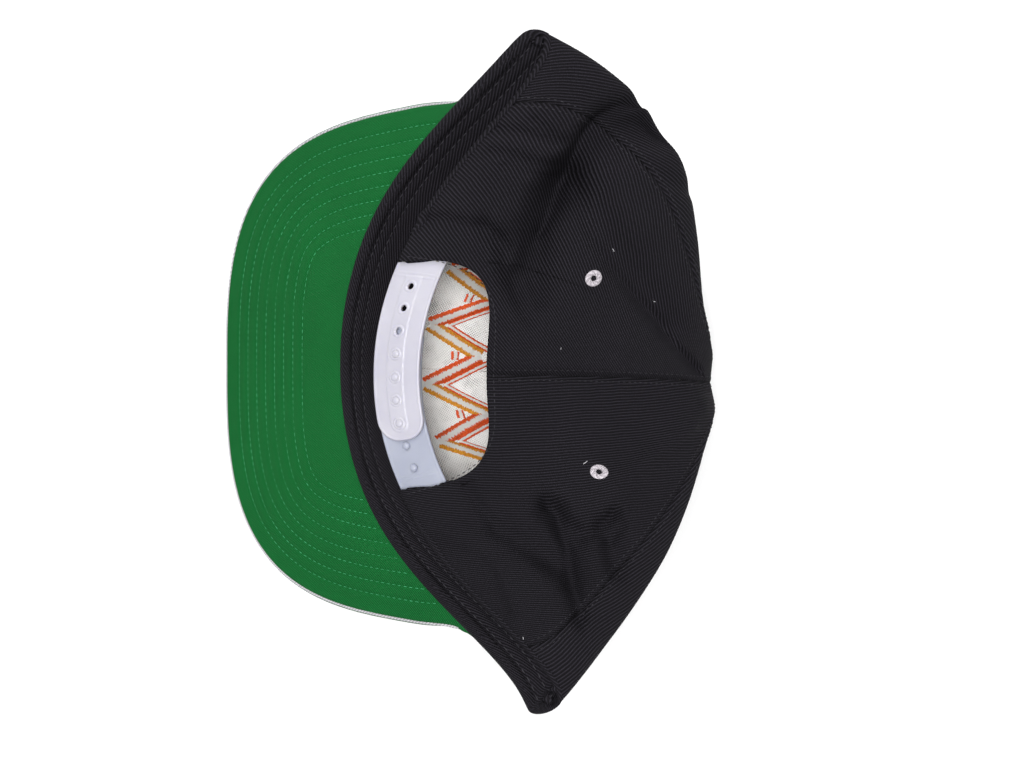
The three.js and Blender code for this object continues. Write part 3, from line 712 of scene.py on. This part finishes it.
EDGE_WALL, EDGE_COVER, EDGE_LOW, EDGE_BULGE = 0.5, 2.2, 3.4, 0.25
edge_turn = np.linspace(0, math.pi, 13)[None, :]
half_wide = (BAND_DEPTH + BAND_WALL) / 2
edge_depth = half_wide - (half_wide + EDGE_BULGE) * np.cos(edge_turn) + 0 * band_angle
edge_v = EDGE_COVER - EDGE_LOW * np.sin(edge_turn) ** 0.8
edge_at = np.maximum(edge_v, 0) / PANEL_HEIGHT + 0 * band_angle
edge_points = wall_point(edge_at, band_angle + 0 * edge_v, edge_depth)
rim_up = crown_point(CLIMB_STEP + 0 * band_angle, band_angle) - crown_point(0 * band_angle, band_angle)
rim_up = rim_up / np.linalg.norm(rim_up, axis=-1, keepdims=True)
edge_points = edge_points + rim_up * np.minimum(edge_v, 0)[..., None]
edge_u, edge_w = metric(edge_points)
thicken(new_object("rim_edge", edge_points, grid_faces(*edge_depth.shape, flip=True), black_band, (),
                   {"cloth": turned_field(edge_u, edge_w, EDGE_LEAN)}), EDGE_WALL)

# Bill: a grey slab that rolls up round its edge, and the green cloth under it


def bill_outline(share):
    turn = np.radians(BILL_END_DEG * np.abs(share))
    forward = np.maximum(np.cos(turn), 0) / BILL_ROUND_LENGTH
    sideways = np.sin(turn) / BILL_HALF_WIDTH
    radius = (forward**BILL_ROUNDNESS + sideways**BILL_ROUNDNESS) ** (-1 / BILL_ROUNDNESS)
    past = np.maximum(turn - math.pi / 2, 0) / rad(BILL_END_DEG - 90)
    x = np.sign(share) * radius * np.sin(turn) * (1 - BILL_SIDE_TAPER * past**2)
    reach = BILL_LENGTH - BILL_ROUND_LENGTH + radius * np.cos(turn)
    return rim_middle + np.stack([x, 0 * x, 0 * x], -1) + reach[..., None] * bill_out


BILL_COLUMNS, BILL_ROWS = 300, 66
bill_share = np.linspace(-1, 1, BILL_COLUMNS)
bill_edge = bill_outline(bill_share)
bill_rim = crown_point(0 * bill_share, bill_share * BILL_RIM_END) + bill_out * GAP
bill_t = spaced(BILL_ROWS, 0.5)[None, :, None]
bill_sheet = bill_rim[:, None] + (bill_edge - bill_rim)[:, None] * bill_t
fine_edge = bill_outline(np.linspace(-1, 1, 1600))
flat = bill_sheet.reshape(-1, 3)
to_edge = np.concatenate([
    norm(part[:, None] - fine_edge[None]).min(1) for part in np.array_split(flat, 60)
]).reshape(BILL_COLUMNS, BILL_ROWS)
BILL_STITCH_ROWS = [9.5 + 5.4 * k for k in range(8)]
bill_flat = np.stack([flat[:, 0], (flat - rim_middle) @ bill_out], -1).reshape(BILL_COLUMNS, BILL_ROWS, 2)


def bill_body(name, sheet, top, bottom, material, node, lean):
    upper, lower = (sheet + bill_down * depth[..., None] for depth in (top, bottom))
    points = np.concatenate([upper, lower[:, ::-1]], 1)
    field = np.concatenate([bill_flat, bill_flat[:, ::-1]], 1)
    cloth = turned_field(field[..., 0], field[..., 1], lean)
    new_object(name, points, loop_faces(*points.shape[:2]), material, (node,), {"cloth": cloth})


rows_dip = sum(np.exp(-(((to_edge - row) / 0.75) ** 2)) for row in BILL_STITCH_ROWS)
under_top = 0.45 * rows_dip - 0.25 * np.exp(-(((to_edge - 3.2) / 1.4) ** 2))
under_top = under_top + 1.1 * smoothstep(BILL_EDGE + 0.6 - to_edge, 0, BILL_EDGE)
bill_body("bill_green", bill_sheet, under_top, 0 * to_edge + BILL_UNDER_WALL + GAP, green_cloth,
          "bill_under", 52.0)
ROLL = 2.4
roll = np.sqrt(np.maximum(1 - ((ROLL - np.minimum(to_edge, ROLL)) / ROLL) ** 2, 0))
edge_hump = 1.5 * np.exp(-(((to_edge - 1.0) / 0.9) ** 2))
cover_top = BILL_UNDER_WALL + GAP - edge_hump + 1.1 * (1 - roll)
cover_bottom = np.maximum(BILL_THICKNESS - 1.3 * (1 - roll), cover_top + 0.05)
bill_body("bill_cover", bill_sheet, cover_top, cover_bottom, grey_cloth, "bill_top", 45.0)

# Snap straps


STRAP_AT = STRAP_WIDTH / 2 / PANEL_HEIGHT
STRAP_REACH = 70


def strap_angle_table():
    """Angle of the crown at each millimetre along the straps, from the middle of the back."""
    found = {0: 180.0}
    for way in (-1, 1):
        angle = 180.0
        for k in range(1, STRAP_REACH):
            angle = float(ring_step(STRAP_AT, angle, -way))
            found[way * k] = angle
    places = sorted(found)
    return np.array(places, float), np.array([found[k] for k in places])


STRAP_PLACES, STRAP_ANGLES = strap_angle_table()


def strap_point(along, across, depth):
    along, across, depth = np.broadcast_arrays(along, across, np.asarray(depth, float))
    angle = np.interp(along, STRAP_PLACES, STRAP_ANGLES)
    return wall_point(STRAP_AT + across / climb(STRAP_AT, angle), angle, depth)


HOLE_CELL = 4.6


def round_cells(along, across, centres):
    """Bends a square grid into rings round each centre."""
    for centre in centres:
        x, y = along - centre, across - SNAP_LINE
        square = np.maximum(np.abs(x), np.abs(y))
        share = 1 - smoothstep(square, HOLE_CELL * 0.62, HOLE_CELL)
        scale = np.where(square > 1e-6, square / np.maximum(np.hypot(x, y), 1e-6), 1)
        along = centre + x * (1 + (scale - 1) * share)
        across = SNAP_LINE + y * (1 + (scale - 1) * share)
    return along, across


def ring(distance, middle, width):
    return np.exp(-(((distance - middle) / width) ** 2))


STRAP_STEP = 0.3
HOLE_RADIUS = 1.5


def strap_body(name, sewn, tip, depth, material, corner, holes, strip, node):
    """A strap with raised edges, a centre strip and rings round its holes."""
    length = abs(tip - sewn)
    way = math.copysign(1, tip - sewn)
    columns, rows = int(length / STRAP_STEP) + 1, int(STRAP_WIDTH / STRAP_STEP) | 1
    s = np.linspace(0, length, columns)[:, None]
    w = np.linspace(-1, 1, rows)[None, :] * STRAP_WIDTH / 2
    near = np.clip(corner - (length - s), 0, corner)
    half = STRAP_WIDTH / 2 - corner + np.sqrt(corner**2 - near**2)
    along = sewn + way * s + 0 * w
    across = w + 0 * s
    along, across = round_cells(along, across, holes)
    across = across * np.where(near > 0, half / (STRAP_WIDTH / 2), 1)
    from_tip = length - s
    corner_x = np.maximum(corner - from_tip, 0)
    corner_y = np.maximum(np.abs(across) - STRAP_WIDTH / 2 + corner, 0)
    in_corner = corner - np.hypot(corner_x, corner_y)
    to_outline = np.where((corner_x > 0) & (corner_y > 0), in_corner,
                          np.minimum(STRAP_WIDTH / 2 - np.abs(across), from_tip + 0 * w))
    to_outline = np.maximum(to_outline, 0)
    height = -0.35 * (1 - np.minimum(to_outline / 0.5, 1)) ** 2
    height = height + 0.16 * smoothstep(to_outline, 0.2, 0.5) * (1 - smoothstep(to_outline, 1.0, 1.35))
    if strip:
        first, last, wide = strip
        x = np.abs((along - (first + last) / 2)) - abs(last - first) / 2
        y = np.abs(across - SNAP_LINE) - wide / 2
        round_end = np.hypot(along - last, across - SNAP_LINE) - wide / 2
        beyond = (along - last) * math.copysign(1, last - first) > 0
        inside = np.where(beyond, -round_end, np.minimum(-x, -y))
        inside = np.where(~beyond & (np.abs(along - first) > abs(last - first)), -1, inside)
        height = height + 0.28 * smoothstep(inside, -0.15, 0.3)
    for centre in holes:
        off = np.hypot(along - centre, across - SNAP_LINE)
        height = height + 0.24 * ring(off, 2.05, 0.35) - 0.1 * ring(off, 2.7, 0.3)
    off_edge = smoothstep(STRAP_WIDTH / 2 - np.abs(across), 1.6, 2.4)
    for place in (sewn + way * 12.5, sewn + way * 14.0):
        height = height + 0.1 * ring(along, place, 0.28) * off_edge
    top = strap_point(along, across, depth - height)
    bottom = strap_point(along, across, depth + STRAP_WALL + 0 * along)
    mid_along = (along[:-1, :-1] + along[1:, 1:]) / 2
    mid_across = (across[:-1, :-1] + across[1:, 1:]) / 2
    keep = np.ones_like(mid_along, bool)
    for centre in holes:
        keep &= np.hypot(mid_along - centre, mid_across - SNAP_LINE) > HOLE_RADIUS - STRAP_STEP / 2
    quads = grid_faces(columns, rows, flip=way > 0)[keep.ravel()]
    count = columns * rows
    edges = np.concatenate([quads[:, [k, (k + 1) % 4]] for k in range(4)])
    code = np.sort(edges, 1) @ np.array([count, 1])
    _, first_seen, seen = np.unique(code, return_index=True, return_counts=True)
    rim = edges[first_seen[seen == 1]]
    walls = np.stack([rim[:, 1], rim[:, 0], rim[:, 0] + count, rim[:, 1] + count], -1)
    faces = np.concatenate([quads, quads[:, ::-1] + count, walls])
    points = np.concatenate([top.reshape(-1, 3), bottom.reshape(-1, 3)])
    used, faces = np.unique(faces, return_inverse=True)
    new_object(name, points[used], faces.reshape(-1, 4), material, (node,))


SEWN_END = OPENING_HALF_WIDTH + STRAP_TUCK
HOLES_DEPTH = PANEL_WALL + STRAP_CLEARANCE
PEGS_DEPTH = HOLES_DEPTH + STRAP_WALL + STRAP_CLEARANCE
hole_places = [LAST_HOLE - SNAP_PITCH * k for k in range(7)]
peg_places = [LAST_HOLE + SNAP_PITCH * (2 - k) for k in range(6)]
strap_body("snap_strap_holes", -SEWN_END, HOLES_END, HOLES_DEPTH, strap_plastic, 9.0, hole_places,
           (hole_places[-1] - 4.4, hole_places[0], 7.6), "strap_holes")
# The inner strap is in the darker copy of the strap plastic: painted shade.
strap_body("snap_strap_pegs", SEWN_END, -PEGS_END, PEGS_DEPTH, shaded_peg_plastic, 6.0, [], None, "strap_pegs")


def turned_body(name, profile, places, material, sides=28):
    """Round shapes of one profile (radius, height) standing on surfaces: (centre, outward) pairs."""
    profile = np.array(profile)
    points, faces = [], []
    turn = np.arange(sides) / sides * 2 * math.pi
    for centre, out in places:
        out = out / np.linalg.norm(out)
        first = np.cross(out, (0, 0, 1) if abs(out[2]) < 0.9 else (1, 0, 0))
        first /= np.linalg.norm(first)
        second = np.cross(out, first)
        ringed = (np.cos(turn)[:, None] * first + np.sin(turn)[:, None] * second)[:, None]
        start = len(points) * sides * len(profile)
        faces.append(grid_faces(sides, len(profile), wrap=True, flip=True, start=start))
        points.append(centre + ringed * profile[None, :, :1] + out * profile[None, :, 1:])
    return new_object(name, np.concatenate(points), np.concatenate(faces), material)


def dome(radius, low, rise, steps=7):
    turn = np.linspace(0, math.pi / 2, steps)
    return [(radius * math.cos(t), low + rise * math.sin(t)) for t in turn]


def on_strap(along, depth):
    centre = strap_point(along, SNAP_LINE, depth)
    return centre, centre - strap_point(along, SNAP_LINE, depth + 1)


PEG_STEM, PEG_RADIUS, PEG_MARGIN = 1.1, 1.7, 4
joined = [p for p in peg_places if p < HOLES_END - PEG_MARGIN]
free = [p for p in peg_places if p >= HOLES_END - PEG_MARGIN]
through = [(PEG_STEM, 0), (PEG_STEM, 1.5), (1.42, 1.7), *dome(PEG_RADIUS, 1.85, 0.75)]
# Pegs through the holes take the lighter strap plastic; the free pegs take the darker copy, which is painted
# shade.
turned_body("snap_pegs", through, [on_strap(p, PEGS_DEPTH) for p in joined], strap_plastic)
standing = [(PEG_STEM, -0.05), (PEG_STEM, 0.5), *dome(PEG_RADIUS, 0.6, 1.2)]
turned_body("snap_pegs_free", standing, [on_strap(p, PEGS_DEPTH) for p in free], shaded_peg_plastic)

# Eyelets and the button on top


def eyelet(name, angle, node):
    """Satin stitches lying across a ring, sunk a little in the cloth."""
    threads, profile = 46, 9
    turn = np.arange(threads * 4) / (threads * 4) * 2 * math.pi
    u = np.linspace(0, math.pi, profile)
    inner, outer = EYELET_HOLE / 2, EYELET_DIAMETER / 2
    r = (inner + outer) / 2 - (outer - inner) / 2 * np.cos(u)[None, :]
    ridge = 0.5 + 0.5 * np.cos(turn * threads)[:, None]
    r = (r + 0.12 * (ridge - 0.5) * (u > math.pi / 2)[None, :]
         + 0.1 * np.sin(turn * 2 + angle)[:, None] * (u > 2))
    lift = -0.3 + (0.75 + 0.22 * ridge) * np.sin(u)[None, :] ** 0.7
    at = EYELET_AT + r * np.cos(turn)[:, None] / climb(EYELET_AT, angle)
    place = wall_point(at, angle + r * np.sin(turn)[:, None] / around(EYELET_AT, angle, 1), -lift)
    cloth = np.stack([turn[:, None] * 3.0 + 0 * r, r, 0 * r], -1).reshape(-1, 3)
    faces = grid_faces(threads * 4, profile, wrap=True)
    new_object(name, place, faces, eyelet_thread, (node,), {"cloth": cloth})


back_width = column("leftX", np.array(EYELET_AT)) * HALF_WIDTH
eyelet_back = 180 - math.degrees(math.asin(EYELET_SPREAD / float(back_width)))
for side, word in ((-1, "left"), (1, "right")):
    eyelet("satin_back_" + word, side * eyelet_back - EYELET_LEAN, "eyelet_back_" + word)
    eyelet("satin_side_" + word, side * EYELET_SIDE_ANGLE, "eyelet_side_" + word)

# Embroidery on the front: a zigzag of satin bands with small marks at its corners. Outside they are
# solid colour; inside, the bobbin thread shows white along the middle of each band.


def front_surface(x, v, depth):
    """Points on the front panels, x mm from the middle and v mm up from the rim."""
    at = v / PANEL_HEIGHT
    low, share = table_row(at * RING_ROWS, RING_ROWS)
    angle = np.empty_like(at)
    for k in np.ndindex(at.shape):
        reach = RING_PLACE[low[k]] * (1 - share[k]) + RING_PLACE[low[k] + 1] * share[k]
        angle[k] = np.interp(x[k], reach, RING_ANGLE)
    return wall_point(at, angle, depth)


SATIN_PROFILE = np.array([(-1, -0.2), (-0.9, 0.45), (-0.55, 0.9), (0, 1), (0.55, 0.9), (0.9, 0.45),
                          (1, -0.2)])
SATIN_STEP = 0.7


def satin(name, strokes, height, outside, material):
    """Raised bands of thread along straight strokes (x0, v0, x1, v1, width) on the front."""
    points, faces, fields, count = [], [], [], 0
    for number, (x0, v0, x1, v1, width) in enumerate(strokes):
        length = math.hypot(x1 - x0, v1 - v0)
        steps = max(int(length / SATIN_STEP), 4)
        s = np.linspace(0, length, steps)[:, None]
        way = np.array([(x1 - x0) / length, (v1 - v0) / length])
        ragged = 1 + 0.07 * np.sin(s * 5.1 + number) + 0.05 * np.sin(s * 2.3 + 2 * number)
        off = SATIN_PROFILE[None, :, 0] * width / 2 * ragged
        x = x0 + way[0] * s - way[1] * off
        v = v0 + way[1] * s + way[0] * off
        end = np.minimum(np.minimum(s, length - s) / 0.8, 1)
        lift = height * SATIN_PROFILE[None, :, 1] * end
        depth = -lift if outside else FRONT_WALL + lift
        place = front_surface(x, v, depth)
        place[..., 2] = np.maximum(place[..., 2], 0.01)
        points.append(place.reshape(-1, 3))
        field = np.stack([s + 0 * off, SATIN_PROFILE[None, :, 0] + 0 * off, 0 * off + number], -1)
        fields.append(field.reshape(-1, 3))
        faces.append(grid_faces(steps, len(SATIN_PROFILE), flip=not outside, start=count))
        count += steps * len(SATIN_PROFILE)
    new_object(name, np.concatenate(points), np.concatenate(faces), material,
               fields={"cloth": np.concatenate(fields)})


def reverse_thread(name, colour, deep):
    """Back of satin stitches: white bobbin thread, with the top thread's colour at the edges."""
    n = Nodes(name)
    cloth, part = n.cloth()
    stretched = n.node("CombineXYZ")
    n.link(n.math("MULTIPLY", part["X"], 1.6), stretched.inputs["X"])
    n.link(n.math("MULTIPLY", part["Y"], 1.2), stretched.inputs["Y"])
    n.link(part["Z"], stretched.inputs["Z"])
    ragged = n.noise(stretched.outputs[0], 1.3, 2.0, 0.6)
    reach = n.math("ADD", n.math("ABSOLUTE", part["Y"]), n.math("MULTIPLY", ragged, 0.9))
    fleck = n.noise(n.position(), 1400.0, 1.0)
    edge = n.ramp(fleck, ((0.35, deep), (0.65, colour)))
    share = n.ramp(reach, ((0.82, (0, 0, 0)), (0.92, (1, 1, 1))))
    wave = n.math("SINE", n.math("MULTIPLY", part["X"], 2 * math.pi / 0.5))
    tint = n.mix(share, (0.93, 0.91, 0.87), edge)
    return n.finish(tint, n.bump(n.math("ADD", wave, fleck), 0.14), 0.6, 0.1, colour)


ZIG_STEP, ZIG_LOW, ZIG_HIGH, ZIG_FIRST = 14.0, 40.0, 68.0, -63.0
corners = [(ZIG_FIRST + ZIG_STEP * k, ZIG_LOW if k % 2 else ZIG_HIGH) for k in range(10)]
zigzag = [(*p, *q, 6.4) for p, q in zip(corners, corners[1:])]
UPPER_RISE = 9.5
upper = [(x0, v0 + UPPER_RISE, x1, v1 + UPPER_RISE, 2.6) for x0, v0, x1, v1, _ in zigzag]
mark_places = [(x, v - (13 if v == ZIG_HIGH else 9)) for x, v in corners[1:-1]]
marks = [(x - 2.0, v, x + 2.0, v, 4.0) for x, v in mark_places]
orange_reverse = reverse_thread("orange_reverse", (1.0, 0.14, 0.02), (0.75, 0.07, 0.01))
yellow_reverse = reverse_thread("yellow_reverse", (0.95, 0.42, 0.03), (0.7, 0.25, 0.02))
for outside, word, materials in ((True, "outside", (orange_thread, yellow_thread, white_thread)),
                                 (False, "inside", (orange_reverse, yellow_reverse, orange_reverse))):
    satin("zigzag_even_" + word, zigzag[::2], 0.8, outside, materials[0])
    satin("zigzag_odd_" + word, zigzag[1::2], 0.8, outside, materials[1])
    satin("zigzag_upper_" + word, upper, 0.5, outside, materials[2])
    satin("corner_marks_" + word, marks, 0.6, outside, materials[0])

# Stitches


def offset_line(at, angle, distance):
    """A line of (at, angle) places moved sideways over the crown by a distance in mm."""
    up, about = climb(at, angle), around(at, angle)
    across, along = np.gradient(angle) * about, np.gradient(at) * up
    size = np.hypot(across, along)
    return at + distance * across / size / up, angle - distance * along / size / about


def sew(name, lines, length, gap, width, material):
    """Rows of stitches along lines of (at, angle) places on the outside of the crown."""
    parts = []
    for at, angle in lines:
        parts.append(run_of_stitches(crown_point(at, angle), crown_normal(at, angle), length, gap))
    centres, ways, normals = (np.concatenate(p) for p in zip(*parts))
    stitches(name, centres, ways, normals, length, width, 0.4, material)


seam_at = np.linspace(0.02, 0.955, 300)
seam_lines = [offset_line(seam_at, side * seam_angle(BACK_SEAM, seam_at), off)
              for side in (-1, 1) for off in (-1.8, 1.8)]
seam_lines += [offset_line(seam_at, side * seam_angle(FRONT_SEAM, seam_at), -2.0 * side) for side in (-1, 1)]
centre_at = np.linspace(OPENING_TOP + 0.025, 0.955, 240)
seam_lines += [offset_line(centre_at, 180 + 0 * centre_at, off) for off in (-2.0, 2.0)]
sew("seam_stitches", seam_lines, 1.2, 1.3, 0.3, black_stitch)
arch_turn = np.linspace(-math.pi / 2, math.pi / 2, 500)
arch_from = OPENING_DEG * np.sign(np.sin(arch_turn)) * np.abs(np.sin(arch_turn)) ** (2 / OPENING_SQUARENESS)
arch_height = OPENING_TOP * np.cos(arch_turn) ** (2 / OPENING_SQUARENESS)
arch_at, arch_angle = offset_line(arch_height, 180 + arch_from, 3.0)
above_rim = arch_at > 0.005
sew("arch_stitches", [(arch_at[above_rim], arch_angle[above_rim])], 1.5, 1.0, 0.34, black_stitch)

bill_lines = []
for row in BILL_STITCH_ROWS:
    share = [np.interp(-row, -d, bill_t[0, :, 0], left=0) for d in to_edge]
    found = [(k, t) for k, t in enumerate(share) if t > 0.004]
    line = np.array([bill_rim[k] + (bill_edge[k] - bill_rim[k]) * t for k, t in found])
    bill_lines.append(run_of_stitches(line + bill_down * 0.3, 0 * line - bill_down, 1.7, 1.15))
centres, ways, normals = (np.concatenate(p) for p in zip(*bill_lines))
stitches("bill_stitches", centres, ways, normals, 1.7, 0.3, 0.3, green_stitch)

band_parts = []
for row in BAND_STITCH_ROWS:
    angle = np.linspace(-BAND_END + 1, BAND_END - 1, 700)
    at = row / PANEL_HEIGHT + 0 * angle
    inward = -crown_normal(at, angle)
    line = wall_point(at, angle, BAND_DEPTH + BAND_WALL - 0.05 + 0 * at)
    band_parts.append(run_of_stitches(line, inward, 2.2, 1.2))
centres, ways, normals = (np.concatenate(p) for p in zip(*band_parts))
stitches("band_stitches", centres, ways, normals, 2.2, 0.45, 0.45, black_stitch)

# Covered button on top of the crown

BUTTON_DROP, BUTTON_RADIUS, BUTTON_BASE, BUTTON_RISE = 32.0, 7.0, -1.2, 2.9
button_axis = np.array([0, math.cos(rad(BUTTON_DROP)), -math.sin(rad(BUTTON_DROP))])
button_low, button_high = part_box("top_button")
button_middle = np.array([(a + b) / 2 / MM for a, b in zip(button_low, button_high)]) - SHIFT
button_profile = [(0, -4.6), (3.3, -4.4), (3.5, -1.8), (5.6, -1.7)]
button_profile += [(BUTTON_RADIUS * math.cos(t) ** 0.8, BUTTON_BASE + BUTTON_RISE * math.sin(t))
                   for t in np.linspace(0, math.pi / 2, 12)]
button = turned_body("button_cover", button_profile, [(button_middle, button_axis)], black_cloth,
                     72)
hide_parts("top_button")

# Lint on the cloth: its pixel in the picture, turn and length

CAMERA = (0.00494, 0.02177, 0.36)
FOCAL_PIXELS = 773
PICTURE_WIDTH, PICTURE_HEIGHT = 1024, 768
search_at, search_angle = np.meshgrid(np.linspace(0.02, 0.9, 160), np.linspace(95, 265, 260), indexing="ij")
search_points = crown_point(search_at, search_angle)


def under_pixel(px, py):
    """The crown's (at, angle) that the camera sees at a pixel of the picture."""
    x, y, z = np.moveaxis(search_points + SHIFT, -1, 0)
    size = FOCAL_PIXELS / (CAMERA[2] / MM - z)
    off = np.hypot(PICTURE_WIDTH / 2 + size * (y - CAMERA[1] / MM) - px,
                   PICTURE_HEIGHT / 2 + size * (x - CAMERA[0] / MM) - py)
    best = np.unravel_index(off.argmin(), off.shape)
    return search_at[best], search_angle[best]


lint = [(613, 250, 0.6, 1.6), (586, 462, 2.2, 2.4), (655, 302, 1.2, 1.0), (560, 348, 2.9, 0.9),
        (520, 640, 0.2, 1.0)]
centres, ways, normals = [], [], []
for px, py, turned, _ in lint:
    at, angle = under_pixel(px, py)
    normal = crown_normal(at, angle)
    first = np.cross(normal, (0, 1, 0))
    centres.append(crown_point(at, angle) + normal * 0.15)
    ways.append(math.cos(turned) * first + math.sin(turned) * np.cross(normal, first))
    normals.append(normal)
stitches("lint", centres, ways, normals, [row[3] for row in lint], 0.22, 0.2, lint_fibre)

# Floor, light and camera


def floor_material():
    n = Nodes("floor")
    cloud = n.noise(n.position(), 3.0, 3.0)
    grain = n.noise(n.position(), 400.0, 2.0)
    colour = n.ramp(cloud, ((0.3, (0.86, 0.86, 0.86)), (0.7, (0.9, 0.9, 0.9))))
    return n.finish(colour, n.bump(grain, 0.02), 0.95)


floor_mesh = bpy.data.meshes.new("floor")
floor_mesh.from_pydata([(-3, -3, 0), (3, -3, 0), (3, 3, 0), (-3, 3, 0)], [], [(0, 1, 2, 3)])
floor_mesh.materials.append(floor_material())
floor = bpy.data.objects.new("floor", floor_mesh)
bpy.context.scene.collection.objects.link(floor)


def area_light(name, place, size, power, target=(0.0, 0.02, 0.03)):
    lamp = bpy.data.lights.new(name, "AREA")
    lamp.size = size
    lamp.energy = power
    holder = bpy.data.objects.new(name, lamp)
    holder.location = place
    holder.rotation_euler = (Vector(target) - Vector(place)).to_track_quat("-Z", "Y").to_euler()
    bpy.context.scene.collection.objects.link(holder)


area_light("overhead", (0.02, 0.0, 0.95), 0.4, 8.8)
area_light("key", (-0.65, -0.4, 0.75), 0.4, 3.6)
area_light("fill", (0.8, 0.6, 0.7), 0.8, 1.4)
world = bpy.data.worlds.new("world")
world.use_nodes = True
world.node_tree.nodes["Background"].inputs["Color"].default_value = (1, 1, 1, 1)
world.node_tree.nodes["Background"].inputs["Strength"].default_value = 0.25
bpy.context.scene.world = world
bpy.context.scene.view_settings.view_transform = "Standard"

lens = bpy.data.cameras.new("camera")
SENSOR_WIDTH, LENS_LENGTH = 36.0, 27.18
lens.sensor_width = SENSOR_WIDTH
lens.lens = LENS_LENGTH
camera = bpy.data.objects.new("camera", lens)
camera.location = CAMERA
camera.rotation_euler = (0, 0, rad(90))
bpy.context.scene.collection.objects.link(camera)
bpy.context.scene.camera = camera
